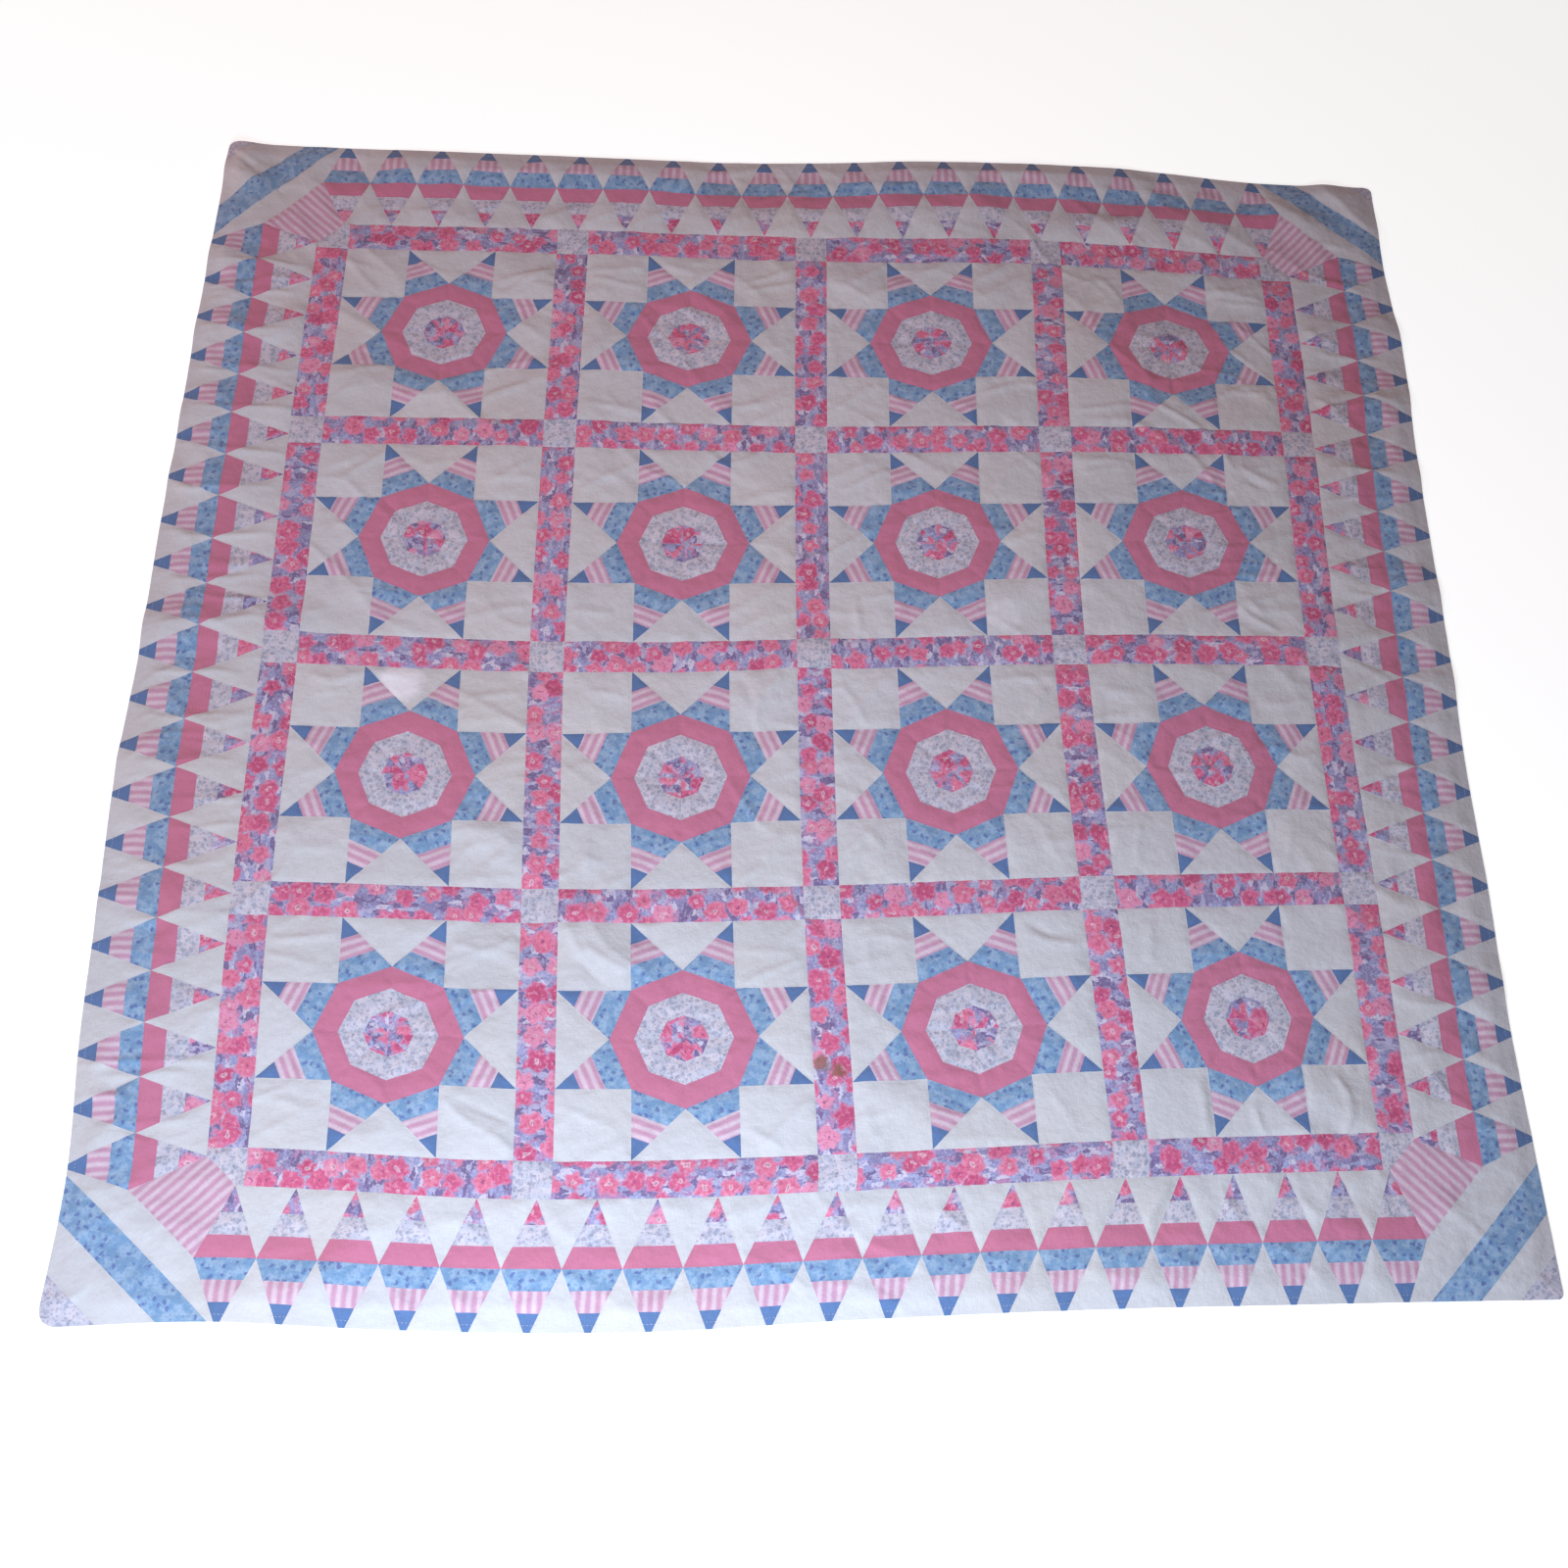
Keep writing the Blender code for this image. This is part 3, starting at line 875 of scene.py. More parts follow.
def weave_and_wear(dyeing, colour, contrast=1.0):
    """Gives a printed colour its threads, painted seam shade and age, and links it to the shader."""
    cloth = dyeing.add("ShaderNodeUVMap", {"uv_map": "cloth"})
    sewing = dyeing.add("ShaderNodeUVMap", {"uv_map": "sewing"})
    place = dyeing.add("ShaderNodeTexCoord", output=3)
    threads = dyeing.weave(cloth) - 1
    mottle = dyeing.noise(place, 0.09, 3.0) - 0.5
    tone = dyeing.part(sewing, 0) - 0.5
    # Painted shade: the colour is darkened towards each seam, as if shade lay in the seam's valley.
    seam = 1 - dyeing.fades(dyeing.part(sewing, 1), 0.0, SEAM_PAINTED_SHADE_REACH)
    light = 1 + threads * (THREAD_SHADE * contrast) + mottle * MOTTLE_SHADE
    light = light + tone * TONE_SHADE - seam * SEAM_PAINTED_SHADE
    colour = dyeing.shaded(colour, light)
    age = dyeing.fades(dyeing.noise(place, 0.35, 4.0), 0.42, 0.75) * AGE_SHARE
    colour = dyeing.mix(age, colour, dye(252, 240, 228), "MULTIPLY")
    blurred = dyeing.shaken(place, 0.012, 0.016)
    for x, y, radius in STAINS:
        stain = blot(dyeing, blurred, x, y, radius) * STAIN_SHARE
        colour = dyeing.mix(stain, colour, dye(134, 92, 74))
    if dyeing.material.name == "cream":
        for x, y, radius, strength in PALE_SPOTS:
            spot = blot(dyeing, blurred, x, y, radius) * strength
            colour = dyeing.mix(spot, colour, dye(236, 230, 240))
    dyeing.feed("Base Color", colour)
    crumple = dyeing.noise(place, 0.017, 3.0)
    dyeing.emboss(threads * 0.25 + crumple * 2.8, 0.35, 0.0016)
    materials[dyeing.material.name] = dyeing.material


print(len(STAINS), "brown stains and", len(PALE_SPOTS), "pale spots mark the quilt")

# %% [markdown]
# ## Plain dyed cottons
# Cream sheeting, rose and navy have no print. Their colour varies only with the threads. The navy
# is yarn-dyed: white threads cross blue ones, so its weave shows more.

# %% Cream, rose and navy
for name, colour, contrast in [
    ("cream", dye(203, 200, 207), 0.8),
    ("rose", dye(198, 116, 147), 0.9),
    ("navy", dye(89, 117, 167), 1.6),
]:
    plain = Dyeing(name)
    weave_and_wear(plain, colour, contrast)
print("three plain cottons are dyed")

# %% [markdown]
# ## Stripes
# Soft rose stripes on pale pink, about a dozen millimetres apart. The patch's own V runs across the
# stripes, so a sine of V is the stripe. A little noise in V keeps the edges from being ruled.

# %% Stripe
STRIPE_PERIOD = 0.0132

stripe = Dyeing("stripe")
cloth = stripe.add("ShaderNodeUVMap", {"uv_map": "cloth"})
v = stripe.part(cloth, 1) + stripe.noise(cloth, 0.03) * 0.002
wave = stripe.add(
    "ShaderNodeMath", {"operation": "SINE"}, {0: v * (2 * math.pi / STRIPE_PERIOD)}
)
band = stripe.fades(wave + stripe.noise(cloth, 0.004) * 0.9, -0.7, 1.4)
pink = stripe.mix(band, dye(214, 190, 207), dye(197, 149, 177))
weave_and_wear(stripe, pink)
print("stripes lie", STRIPE_PERIOD * 1000, "mm apart")

# %% [markdown]
# ## Small prints
# The sky-blue cotton is sponged in two blues and scattered with dark sprigs. The speckled cotton is
# pale lilac with dense grey-blue flecks. Both scatter their marks with a Voronoi texture: a mark
# sits in the middle of a cell, where the distance is small, and a random number of the cell's own
# leaves some out.

# %% Blue print and speckle
blue = Dyeing("blue_print")
cloth = blue.add("ShaderNodeUVMap", {"uv_map": "cloth"})
tide = blue.fades(blue.noise(cloth, 0.014, 3.0), 0.38, 0.64)
ground = blue.mix(tide, dye(118, 151, 190), dye(148, 173, 204))
drawn = blue.shaken(cloth, 0.007, 0.010)
sprig = blue.cells(drawn, 0.0135, 0)
kept = blue.part(blue.cells(drawn, 0.0135, 1), 0)
mark = (1 - blue.fades(sprig, 0.10, 0.32)) * (kept > 0.35)
ground = blue.mix(mark * 0.75, ground, dye(81, 95, 158))
dots = 1 - blue.fades(blue.cells(blue.shaken(cloth, 0.004, 0.005), 0.0065, 0), 0.12, 0.30)
ground = blue.mix(dots * 0.35, ground, dye(92, 115, 175))
weave_and_wear(blue, ground)

speckle = Dyeing("speckle")
cloth = speckle.add("ShaderNodeUVMap", {"uv_map": "cloth"})
tide = speckle.fades(speckle.noise(cloth, 0.015, 3.0), 0.40, 0.62)
ground = speckle.mix(tide, dye(206, 197, 212), dye(190, 188, 206))
for size, reach, strength, ink in [
    (0.0096, 0.48, 0.55, dye(134, 136, 164)),
    (0.0058, 0.36, 0.42, dye(100, 102, 128)),
]:
    drawn = speckle.shaken(cloth, size * 0.7, size * 1.2)
    fleck = speckle.cells(drawn, size, 0)
    kept = speckle.part(speckle.cells(drawn, size, 1), 1)
    mark = (1 - speckle.fades(fleck, reach * 0.3, reach)) * (kept > 0.35)
    ground = speckle.mix(mark * strength, ground, ink)
weave_and_wear(speckle, ground)
print("two small prints are dyed")

# %% [markdown]
# ## Large flowers
# Rose-pink flowers, two to three centimetres across, crowd a ground of lavender leaves with dark
# purple gaps. Each Voronoi cell is one flower: the vector from its middle gives an angle and a
# length, and a length that waves five times round the angle draws five petals. The cell's random
# colour picks the dye, the size and the turn. The leaves are a finer Voronoi, stretched one way.

# %% Floral
FLOWER = 0.034

floral = Dyeing("floral")
cloth = floral.add("ShaderNodeUVMap", {"uv_map": "cloth"})
leafy = floral.shaken(floral.vectors("MULTIPLY", cloth, (1, 0.55, 1)), 0.008, 0.012)
leaf = floral.part(floral.cells(leafy, 0.0066, 1), 0)
ground = floral.ramp(
    leaf,
    (0.00, dye(122, 104, 150)),
    (0.18, dye(144, 134, 178)),
    (0.42, dye(156, 156, 198)),
    (0.62, dye(178, 170, 204)),
    (0.80, dye(204, 194, 218)),
    (0.90, dye(180, 134, 176)),
)
wash = floral.noise(cloth, 0.004, 3.0)
ground = floral.mix(floral.fades(wash, 0.54, 0.72) * 0.5, ground, dye(206, 198, 220))
ground = floral.mix((1 - floral.fades(wash, 0.30, 0.44)) * 0.6, ground, dye(116, 96, 138))
drawn = floral.shaken(cloth, 0.012, 0.015)
middle = floral.cells(drawn, FLOWER, 2, 0.7)
pick = floral.cells(drawn, FLOWER, 1, 0.7)
spoke = floral.vectors("SUBTRACT", drawn, middle)
away = floral.vectors("LENGTH", spoke, output=1)
angle = floral.add(
    "ShaderNodeMath",
    {"operation": "ARCTAN2"},
    {0: floral.part(spoke, 1), 1: floral.part(spoke, 0)},
)
petals = floral.add(
    "ShaderNodeMath", {"operation": "COSINE"}, {0: angle * 5 + floral.part(pick, 2) * 6}
)
reach = FLOWER * 0.34 + floral.part(pick, 1) * (FLOWER * 0.18) + petals * (FLOWER * 0.045)
inside = 1 - floral.fades(away - reach, -0.0020, 0.0020)
flower = floral.ramp(
    floral.part(pick, 0),
    (0.0, dye(208, 96, 136)),
    (0.36, dye(218, 116, 148)),
    (0.68, dye(222, 142, 174)),
    (0.86, dye(194, 80, 122)),
)
paint = floral.noise(floral.shaken(cloth, 0.007, 0.009), 0.006, 3.0)
flower = floral.mix((1 - floral.fades(paint, 0.34, 0.50)) * 0.5, flower, dye(182, 70, 116))
flower = floral.mix(floral.fades(paint, 0.52, 0.68) * 0.6, flower, dye(228, 152, 182))
rim = floral.fades(away - reach, -0.0050, -0.0010)
flower = floral.mix(rim * 0.35, flower, dye(220, 152, 190))
heart = 1 - floral.fades(away, 0.0020, 0.0046)
flower = floral.mix(heart * (floral.part(pick, 2) > 0.5) * 0.75, flower, dye(240, 204, 216))
flower = floral.mix((1 - floral.fades(away, 0.0010, 0.0026)) * 0.6, flower, dye(118, 60, 112))
weave_and_wear(floral, floral.mix(inside, ground, flower))
print("flowers stand about", FLOWER * 1000, "mm apart")

# %% [markdown]
# ## From a flat row to cloth on the floor
# numpy moves all points of a row at once. These helpers read a flat mesh into arrays, put the
# points back where they come to lie, and add a UV map. The distance to the nearest seam is found by
# walking outwards along the mesh's edges, a few steps from every seam.

# %% Points and seams
SEAM_REACH = 0.030
SEAM_STEPS = 6
AT_EDGE = 1e-4


def read(items, name, size, kind):
    """One value of every item of a mesh, as an array."""
    values = np.empty(len(items) * size, kind)
    items.foreach_get(name, values)
    return values.reshape(-1, size) if size > 1 else values


def flat_places(mesh):
    """Where a flat mesh's points lie, and how far each is inside the quilt's edge."""
    flat = read(mesh.vertices, "co", 3, np.float32).astype(float)
    return flat, HALF - np.abs(flat[:, :2]).max(axis=1)


def lay_down(mesh, x, y, height):
    """Moves a mesh's points to where they lie, with the quilt's middle at the origin."""
    placed = np.column_stack([x - MIDDLE_X, y - MIDDLE_Y, height])
    mesh.vertices.foreach_set("co", placed.astype(np.float32).ravel())


def add_uv_map(mesh, name, u, v):
    """A UV map from two coordinates of every face corner."""
    uv_map = mesh.uv_layers.new(name=name)
    uv_map.data.foreach_set("uv", np.column_stack([u, v]).astype(np.float32).ravel())


def seam_distance(mesh, under, hem, patch_of_loop):
    """Each point's distance to the nearest seam, up to a few cells away."""
    ends = read(mesh.edges, "vertices", 2, np.int32)
    loop_edge = read(mesh.loops, "edge_index", 1, np.int32)
    lowest = np.full(len(ends), patch_of_loop.max())
    highest = np.zeros(len(ends), int)
    np.minimum.at(lowest, loop_edge, patch_of_loop)
    np.maximum.at(highest, loop_edge, patch_of_loop)
    sewn = (lowest != highest) | (under[ends].any(axis=1) & ~hem[ends].any(axis=1))
    distance = np.full(len(under), SEAM_REACH)
    distance[ends[sewn].ravel()] = 0
    flat, _ = flat_places(mesh)
    length = np.linalg.norm(flat[ends[:, 0], :2] - flat[ends[:, 1], :2], axis=1)
    for _ in range(SEAM_STEPS):
        np.minimum.at(distance, ends[:, 0], distance[ends[:, 1]] + length)
        np.minimum.at(distance, ends[:, 1], distance[ends[:, 0]] + length)
    return distance


print("a seam is felt up to", round(SEAM_REACH * 1000), "mm away")

# %% [markdown]
# ## Settling
# `settle` turns a flat row into a finished piece. The edges are turned under first, with an
# extrusion, as a quilter's seam allowance is. They are marked sharp, so that no shading bleeds
# round the turn. Then all points move to the uneven outline, up onto the folds, and down into a
# valley at each seam. The hem's edge rolls down a little and is drawn in underneath.
#
# Each patch keeps its own flat coordinates in a UV map, turned and shifted at random, so that the
# prints break at the seams. A second map holds the patch's own tone and the distance to the seam.

# %% Settle a row
WELD_NEAR = 2e-5
TURN_UNDER = 0.0011
ROLL_DEPTH = 0.0008
ROLL_WIDTH = 0.0025
HEM_INSET = 0.0008
BACK_SHARE = 0.30
BACK_CLEAR = 0.0004


def turn_edges_under(form):
    """Joins a row's patches and gives its outer edges a short turned-down rim."""
    downward = [face for face in form.faces if face.normal.z < 0]
    bmesh.ops.reverse_faces(form, faces=downward)
    bmesh.ops.remove_doubles(form, verts=form.verts, dist=WELD_NEAR)
    rim = [edge for edge in form.edges if edge.is_boundary]
    for edge in rim:
        edge.smooth = False
    turned = bmesh.ops.extrude_edge_only(form, edges=rim)["geom"]
    turned = [item for item in turned if isinstance(item, bmesh.types.BMVert)]
    bmesh.ops.translate(form, verts=turned, vec=(0, 0, -TURN_UNDER))


def settle(work):
    """Finishes a flat row: turned edges, place on the floor, UV maps and cottons."""
    turn_edges_under(work.form)
    mesh = bpy.data.meshes.new(work.name)
    work.form.to_mesh(mesh)
    work.form.free()

    flat, edge = flat_places(mesh)
    loops = read(mesh.loops, "vertex_index", 1, np.int32)
    patch = read(mesh.attributes["patch"].data, "value", 1, np.int32)
    patch_of_loop = np.repeat(patch, read(mesh.polygons, "loop_total", 1, np.int32))
    under = flat[:, 2] < 0
    hem = edge < AT_EDGE
    seam = seam_distance(mesh, under, hem, patch_of_loop)

    x, y = crept(flat[:, 0], flat[:, 1])
    height = top_height(x, y, edge, seam) - ROLL_DEPTH * np.exp(-((edge / ROLL_WIDTH) ** 2))
    height[under] -= TURN_UNDER
    least = np.where(under, 0, BACK_SHARE * thickness(edge)) + BACK_CLEAR
    height = np.maximum(height, lift(x, y) + least)
    inward = np.where(under & hem, 1 - HEM_INSET / HALF, 1)
    lay_down(mesh, x * inward, y * inward, height)

    turn, from_x, from_y, shift_u, shift_v, tone = np.array(work.patches)[patch_of_loop].T
    out_x = flat[loops, 0] - from_x
    out_y = flat[loops, 1] - from_y
    u = out_x * np.cos(turn) + out_y * np.sin(turn) + shift_u
    v = out_y * np.cos(turn) - out_x * np.sin(turn) + shift_v
    add_uv_map(mesh, "cloth", u, v)
    add_uv_map(mesh, "sewing", tone, seam[loops] / SEAM_REACH)

    for cotton in COTTONS:
        mesh.materials.append(materials[cotton])
    mesh.shade_smooth()
    mesh.attributes.remove(mesh.attributes["patch"])
    mesh.update()
    piece = bpy.data.objects.new(work.name, mesh)
    bpy.context.collection.objects.link(piece)
    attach(piece, "root")
    print(work.name, "has", len(work.patches) - 1, "patches and", len(mesh.polygons), "faces")
    return piece

# %% [markdown]
# ## Rows of blocks and rows of strips
# A quilter joins blocks and short strips into rows, and long strips and speckled squares into rows
# between them. The same is done here, so the quilt has nine inner rows. The four outermost
# speckled squares lose their outer corners, because the border's striped patches reach in there.

# %% Inner rows
STRIP_CELLS = (78, 12)
CORNER_CUT = 0.025 * PITCH


def crossing(column, row):
    """The place where two strips cross, counted from the foot's left corner."""
    return Vector(((column - BLOCKS_ACROSS / 2) * PITCH, (row - BLOCKS_ACROSS / 2) * PITCH))


def sew_strip(work, middle, along_x):
    """One flowered strip between two crossings."""
    size = Vector((BLOCK, SASH)) if along_x else Vector((SASH, BLOCK))
    cells = STRIP_CELLS if along_x else STRIP_CELLS[::-1]
    work.lay(middle - size / 2, Vector((size.x, 0)), Vector((0, size.y)), *cells)
    work.dress("floral", 0)


def sew_cornerstone(work, column, row):
    """A speckled square where strips cross, without the corner that the border covers."""
    middle = crossing(column, row)
    corner = middle - Vector((SASH, SASH)) / 2
    work.lay(corner, Vector((SASH, 0)), Vector((0, SASH)), STRIP_CELLS[1], STRIP_CELLS[1])
    if column in (0, BLOCKS_ACROSS) and row in (0, BLOCKS_ACROSS):
        outward = middle.normalized()
        work.trim(middle + outward * (CORNER_CUT / math.sqrt(2)), outward)
    work.dress("speckle", 0)


for row in range(BLOCKS_ACROSS + 1):
    work = Patchwork(f"strip_row_{row}")
    for column in range(BLOCKS_ACROSS + 1):
        sew_cornerstone(work, column, row)
        if column < BLOCKS_ACROSS:
            sew_strip(work, crossing(column + 0.5, row), True)
    settle(work)
for row in range(BLOCKS_ACROSS):
    work = Patchwork(f"block_row_{row}")
    for column in range(BLOCKS_ACROSS + 1):
        sew_strip(work, crossing(column, row + 0.5), False)
        if column < BLOCKS_ACROSS:
            sew_block(work, crossing(column + 0.5, row + 0.5))
    settle(work)

# %% [markdown]
# ## The border of long diamonds
# Twenty-one diamonds stand side by side along each edge, from the strips to the hem. They carry the
# star's six cottons in the same order, with the stripes now running lengthways. A diamond is two
# triangles, base to base, and cream triangles of the same two shapes fill the gaps. The outer tips
# are drawn a little past the hem, which cuts them off.
# One border is worked out for the foot edge, and a turn about the quilt's middle makes the others.

# %% Border
DIAMONDS = 21
DIAMOND_PITCH = 0.196 * PITCH
WIDEST = 0.094
TIP_CUT = 0.009
TIP = BORDER + TIP_CUT
LEVELS = 19
SEAM_LEVELS = (7, 13)


class Side:
    """One edge of the quilt: places across it and outwards from the strips, turned into x and y."""

    def __init__(self, quarter):
        self.turn = quarter * math.pi / 2

    def place(self, across, out):
        return self.vector(across, -FIELD - out)

    def vector(self, across, up):
        turned = Vector((across, up, 0))
        turned.rotate(Matrix.Rotation(self.turn, 3, "Z"))
        return turned.to_2d()


def lay_half(work, side, across, tip, base):
    """A flat triangle as wide as a diamond at its base. Its tip and the way to the base come back."""
    half = DIAMOND_PITCH / 2
    apex = side.place(across, tip)
    side_a = side.place(across - half, base) - apex
    side_b = side.place(across + half, base) - apex
    work.triangle(apex, side_a, side_b, LEVELS)
    return apex, (side_a + side_b).normalized()


def trim_at_hem(work, side):
    """Cuts the fresh faces along the quilt's edge."""
    work.trim(side.place(0, BORDER), side.vector(0, -1))


def sew_half_diamond(work, side, across, tip, base, cottons):
    """One half of a border diamond, from its tip to its widest line, in three strips."""
    apex, axis = lay_half(work, side, across, tip, base)
    bmesh.ops.triangulate(work.form, faces=work.fresh(), quad_method="SHORT_EDGE")
    trim_at_hem(work, side)
    depth = abs(base - tip)

    def level_of(face):
        return LEVELS * (face.calc_center_median().to_2d() - apex).dot(axis) / depth

    for cotton, low, high in zip(cottons, (0, *SEAM_LEVELS), (*SEAM_LEVELS, LEVELS)):
        work.dress(cotton, side.turn + math.pi / 2, lambda face: low <= level_of(face) < high)


def sew_gap(work, side, across, tip, base):
    """A cream triangle between two diamonds, its tip where they touch."""
    lay_half(work, side, across, tip, base)
    trim_at_hem(work, side)
    work.dress("cream", side.turn)


def sew_border(work, side):
    """The whole run of diamonds along one edge, without its corners."""
    start = -DIAMOND_PITCH * (DIAMONDS - 1) / 2
    for number in range(DIAMONDS):
        across = start + number * DIAMOND_PITCH
        sew_half_diamond(work, side, across, 0, WIDEST, STRIPS[:3])
        sew_half_diamond(work, side, across, TIP, WIDEST, STRIPS[:2:-1])
        if number < DIAMONDS - 1:
            sew_gap(work, side, across + DIAMOND_PITCH / 2, WIDEST, 0)
            sew_gap(work, side, across + DIAMOND_PITCH / 2, WIDEST, TIP)


print(DIAMONDS, "border diamonds stand", round(1000 * DIAMOND_PITCH), "mm apart on each side")

# %% [markdown]
# ## Corners
# A corner is filled with bands that run slantwise from edge to edge: a striped patch that joins the
# two last diamonds, cream, a wide blue band, cream again, and a small speckled tip. Each band's
# grid is laid slantwise too, so that its long edges follow the grid's lines.

# %% Border corners
# For each corner, how far its blue band's two edges and its tip lie out, in pitches along a side.
CORNER_BANDS = {
    (-1, -1): (0.490, 0.645, 0.825),
    (1, -1): (0.545, 0.715, 0.850),
    (1, 1): (0.500, 0.650, 0.900),
    (-1, 1): (0.500, 0.655, 0.880),
}
CORNER_CELL = 0.0048
CORNER_REACH = 0.26


def sew_corner(work, side_x, side_y):
    """One corner of the border."""
    cross = Vector((side_x, side_y)) * (BLOCKS_ACROSS / 2 * PITCH)
    out = Vector((side_x, side_y)).normalized()
    aside = Vector((-side_y, side_x)).normalized()
    start = (DIAMONDS - 1) / 2 * DIAMOND_PITCH
    wide = start + DIAMOND_PITCH / 2
    tip_x = Vector((side_x * FIELD, side_y * start))
    tip_y = Vector((side_x * start, side_y * FIELD))
    wide_x = Vector((side_x * (FIELD + WIDEST), side_y * wide))
    wide_y = Vector((side_x * wide, side_y * (FIELD + WIDEST)))
    end_x = Vector((side_x * (FIELD + TIP), side_y * start))
    end_y = Vector((side_x * start, side_y * (FIELD + TIP)))
    long_out = (wide_x - cross).dot(out)
    bands = [pitches * PITCH / math.sqrt(2) for pitches in CORNER_BANDS[side_x, side_y]]
    edges = [(tip_x - cross).dot(out), long_out, *bands, (HALF - cross.x * side_x) * math.sqrt(2)]
    cottons = ["stripe", "cream", "blue_print", "cream", "speckle"]
    for cotton, near, far in zip(cottons, edges, edges[1:]):
        corner = cross + out * near - aside * CORNER_REACH
        cells_across = round(2 * CORNER_REACH / CORNER_CELL)
        cells_out = max(2, round((far - near) / CORNER_CELL))
        work.lay(corner, aside * (2 * CORNER_REACH), out * (far - near), cells_across, cells_out)
        if cotton == "stripe":
            trims = [(tip_x, wide_x), (tip_y, wide_y)]
        else:
            trims = [(wide_x, end_x), (wide_y, end_y)]
            work.trim(Vector((side_x * HALF, 0)), Vector((side_x, 0)))
            work.trim(Vector((0, side_y * HALF)), Vector((0, side_y)))
        for start_point, end_point in trims:
            run = end_point - start_point
            outward = Vector((run.y, -run.x))
            if outward.dot(cross + out * long_out - start_point) > 0:
                outward.negate()
            work.trim(start_point, outward)
        work.dress(cotton, math.atan2(out.y, out.x))


for name, quarter, row in [("foot", 0, -1), ("right", 1, 0), ("head", 2, 1), ("left", 3, 0)]:
    work = Patchwork(f"border_{name}")
    sew_border(work, Side(quarter))
    if row:
        sew_corner(work, -1, row)
        sew_corner(work, 1, row)
    settle(work)

# %% [markdown]
# ## Back cloth
# Under the patchwork lie a thin filling and a plain cream back, turned in at the hem. They are one
# closed slab, a little smaller than the top and lower than its seams, made from a grid that
# `solidify` gives its underside. It rests on the floor wherever no fold lifts it.

# %% Back cloth
BACK_CELLS = 128
BACK_INSET = 0.0009
BACK_SHADE = 0.14

back_cotton = Dyeing("back_cotton")
back_threads = back_cotton.weave(back_cotton.add("ShaderNodeTexCoord", output=3))
back_light = back_threads * BACK_SHADE + (1 - BACK_SHADE)
back_cotton.feed("Base Color", back_cotton.shaded(dye(224, 214, 214), back_light))
back_cotton.emboss(back_threads * 0.5, 0.3, 0.0006)

back_form = bmesh.new()
bmesh.ops.create_grid(back_form, x_segments=BACK_CELLS, y_segments=BACK_CELLS, size=HALF)
# Only the direction counts here, because every height is set below.
bmesh.ops.solidify(back_form, geom=back_form.faces[:], thickness=-BACK_SHARE)
bmesh.ops.recalc_face_normals(back_form, faces=back_form.faces[:])
back_mesh = bpy.data.meshes.new("back_cloth")
back_form.to_mesh(back_mesh)
back_form.free()
back_flat, back_edge = flat_places(back_mesh)
back_x, back_y = crept(back_flat[:, 0], back_flat[:, 1])
upper = (back_flat[:, 2] - back_flat[:, 2].min()) / np.ptp(back_flat[:, 2])
back_height = lift(back_x, back_y) + upper * thickness(back_edge) * BACK_SHARE
shrink = 1 - BACK_INSET / HALF
lay_down(back_mesh, back_x * shrink, back_y * shrink, back_height)
back_mesh.materials.append(back_cotton.material)
back_mesh.shade_smooth()
back_mesh.set_sharp_from_angle(angle=math.radians(50))
back = bpy.data.objects.new("back_cloth", back_mesh)
bpy.context.collection.objects.link(back)
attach(back, "root")
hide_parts("quilt")
print("the back cloth has", len(back_mesh.polygons), "faces")

# %% [markdown]
# ## Hem stitches
# A line of hand stitches runs round the quilt a finger's width inside the edge and holds the turned
# hem. Each stitch is a small stretched ball. One is made, an Array modifier copies it along a
# straight line, and the same `crept` and `lift` lay the line on the cloth.

# %% Hem stitches
STITCH_LENGTH = 0.0034
STITCH_PITCH = 0.0052
STITCH_WIDE = 0.0005
STITCH_HIGH = 0.7 * STITCH_WIDE
STITCH_LINE = 0.0095

thread = Dyeing("thread", roughness=0.7)
fibre = thread.noise(thread.add("ShaderNodeTexCoord", output=3), 0.002)
thread_colour = thread.mix(fibre, dye(198, 188, 202), dye(222, 212, 222))
thread.feed("Base Color", thread_colour)

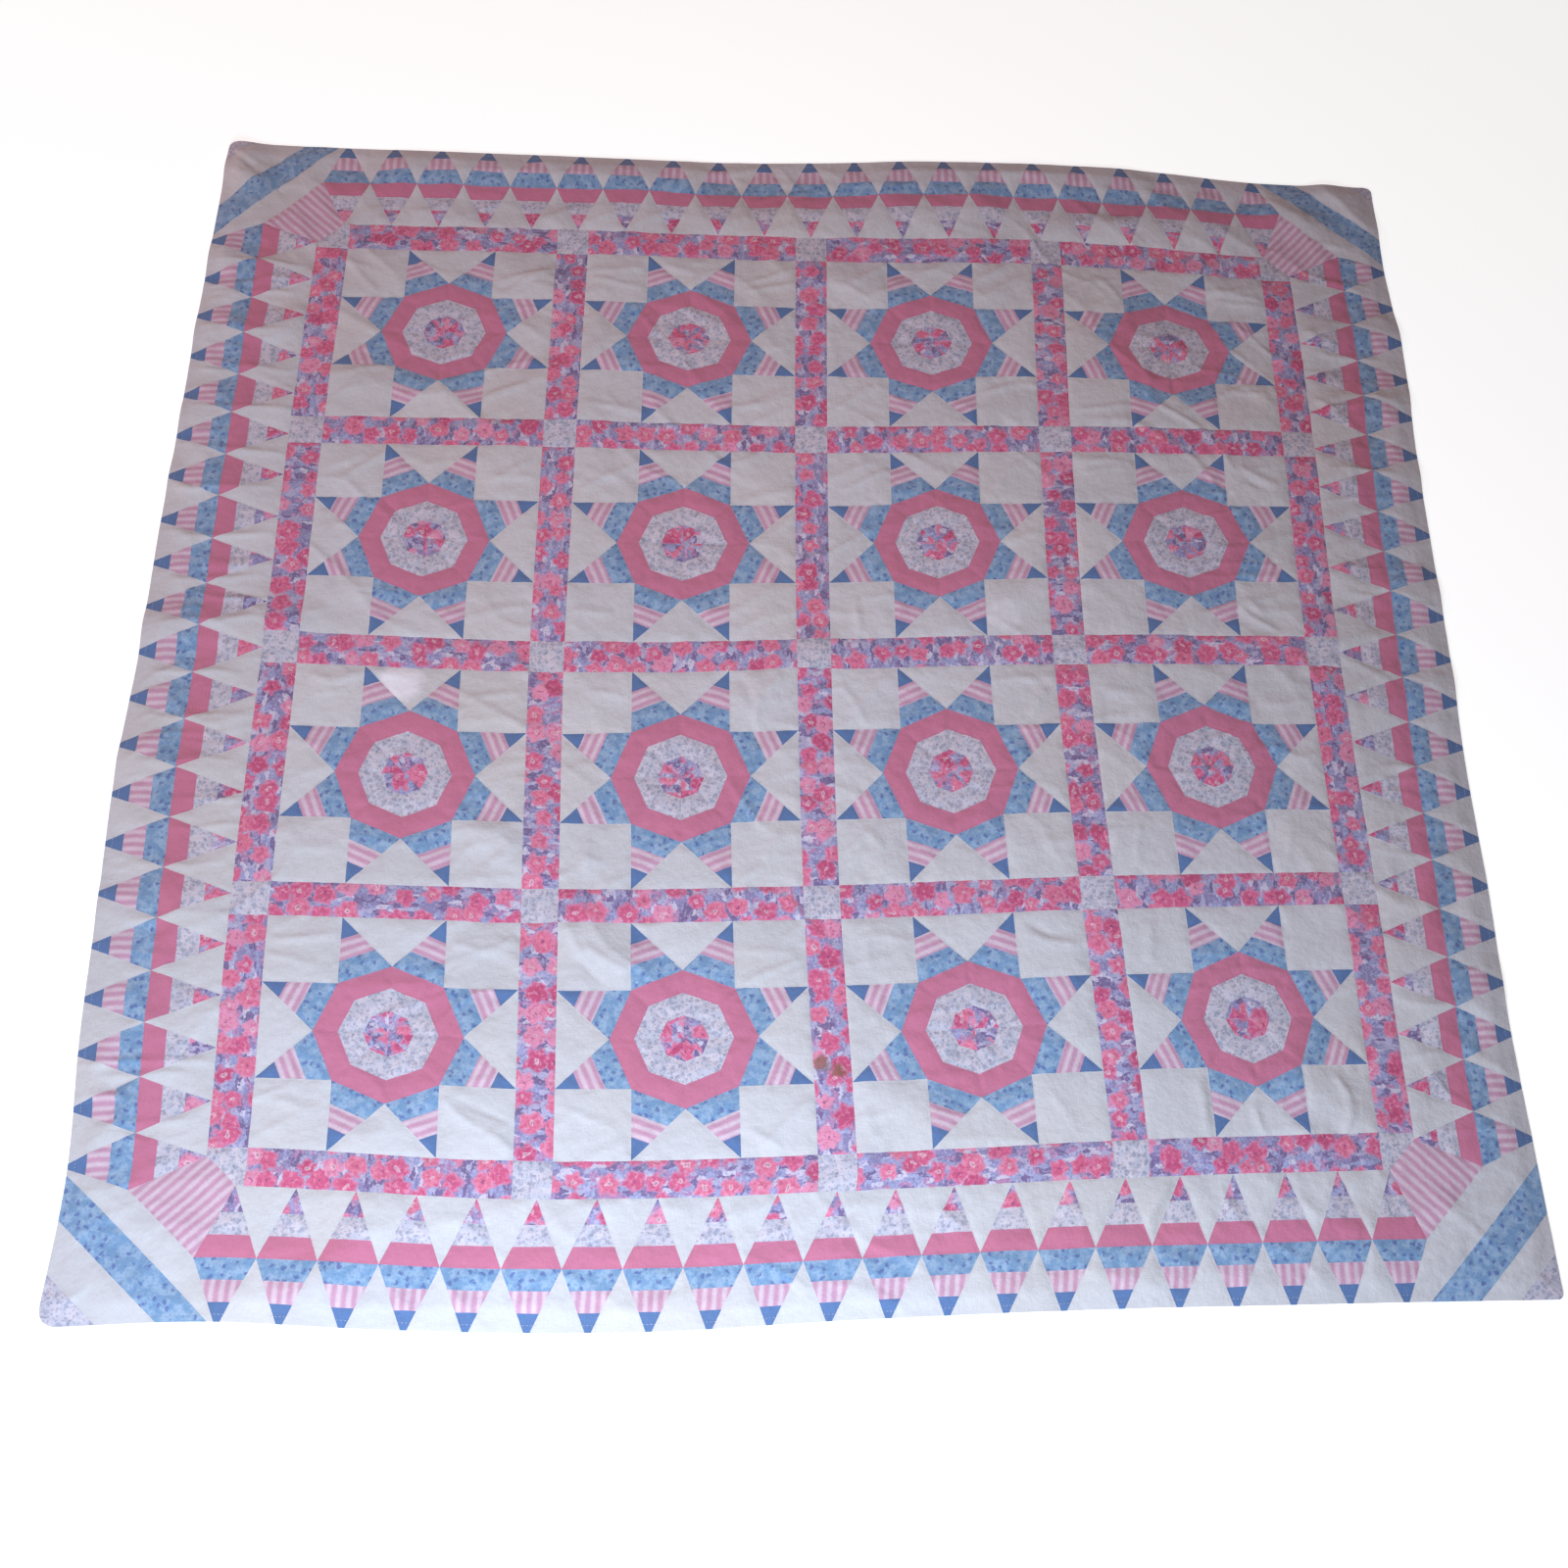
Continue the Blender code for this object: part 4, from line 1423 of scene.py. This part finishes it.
run = 2 * (HALF - STITCH_LINE)
stitches = int(run / STITCH_PITCH)
stitch_form = bmesh.new()
bmesh.ops.create_uvsphere(stitch_form, u_segments=6, v_segments=4, radius=0.5)
stitch_size = (STITCH_LENGTH, STITCH_WIDE, STITCH_HIGH)
bmesh.ops.scale(stitch_form, vec=stitch_size, verts=stitch_form.verts)
bmesh.ops.translate(stitch_form, verts=stitch_form.verts, vec=(STITCH_PITCH / 2 - run / 2, 0, 0))
stitch_mesh = bpy.data.meshes.new("one_stitch")
stitch_form.to_mesh(stitch_mesh)
stitch_form.free()
stitch = bpy.data.objects.new("one_stitch", stitch_mesh)
bpy.context.collection.objects.link(stitch)
row_of = stitch.modifiers.new("row", "ARRAY")
row_of.count = stitches
row_of.use_relative_offset = False
row_of.use_constant_offset = True
row_of.constant_offset_displace = (STITCH_PITCH, 0, 0)
row_mesh = bpy.data.meshes.new_from_object(
    stitch.evaluated_get(bpy.context.evaluated_depsgraph_get())
)
bpy.data.objects.remove(stitch)

hem_form = bmesh.new()
for quarter in range(4):
    hem_form.from_mesh(row_mesh)
    row_verts = hem_form.verts[-len(row_mesh.vertices):]
    bmesh.ops.translate(hem_form, verts=row_verts, vec=(0, -run / 2, 0))
    turn = Matrix.Rotation(quarter * math.pi / 2, 3, "Z")
    bmesh.ops.rotate(hem_form, verts=row_verts, matrix=turn)
hem_mesh = bpy.data.meshes.new("hem_stitches")
hem_form.to_mesh(hem_mesh)
hem_form.free()
hem_flat, hem_edge = flat_places(hem_mesh)
hem_x, hem_y = crept(hem_flat[:, 0], hem_flat[:, 1])
far_from_seams = np.full(len(hem_x), SEAM_REACH)
hem_top = top_height(hem_x, hem_y, hem_edge, far_from_seams)
lay_down(hem_mesh, hem_x, hem_y, hem_top + hem_flat[:, 2])
hem_mesh.materials.append(thread.material)
hem_mesh.shade_smooth()
hem = bpy.data.objects.new("hem_stitches", hem_mesh)
bpy.context.collection.objects.link(hem)
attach(hem, "root")
print(4 * stitches, "stitches hold the hem")
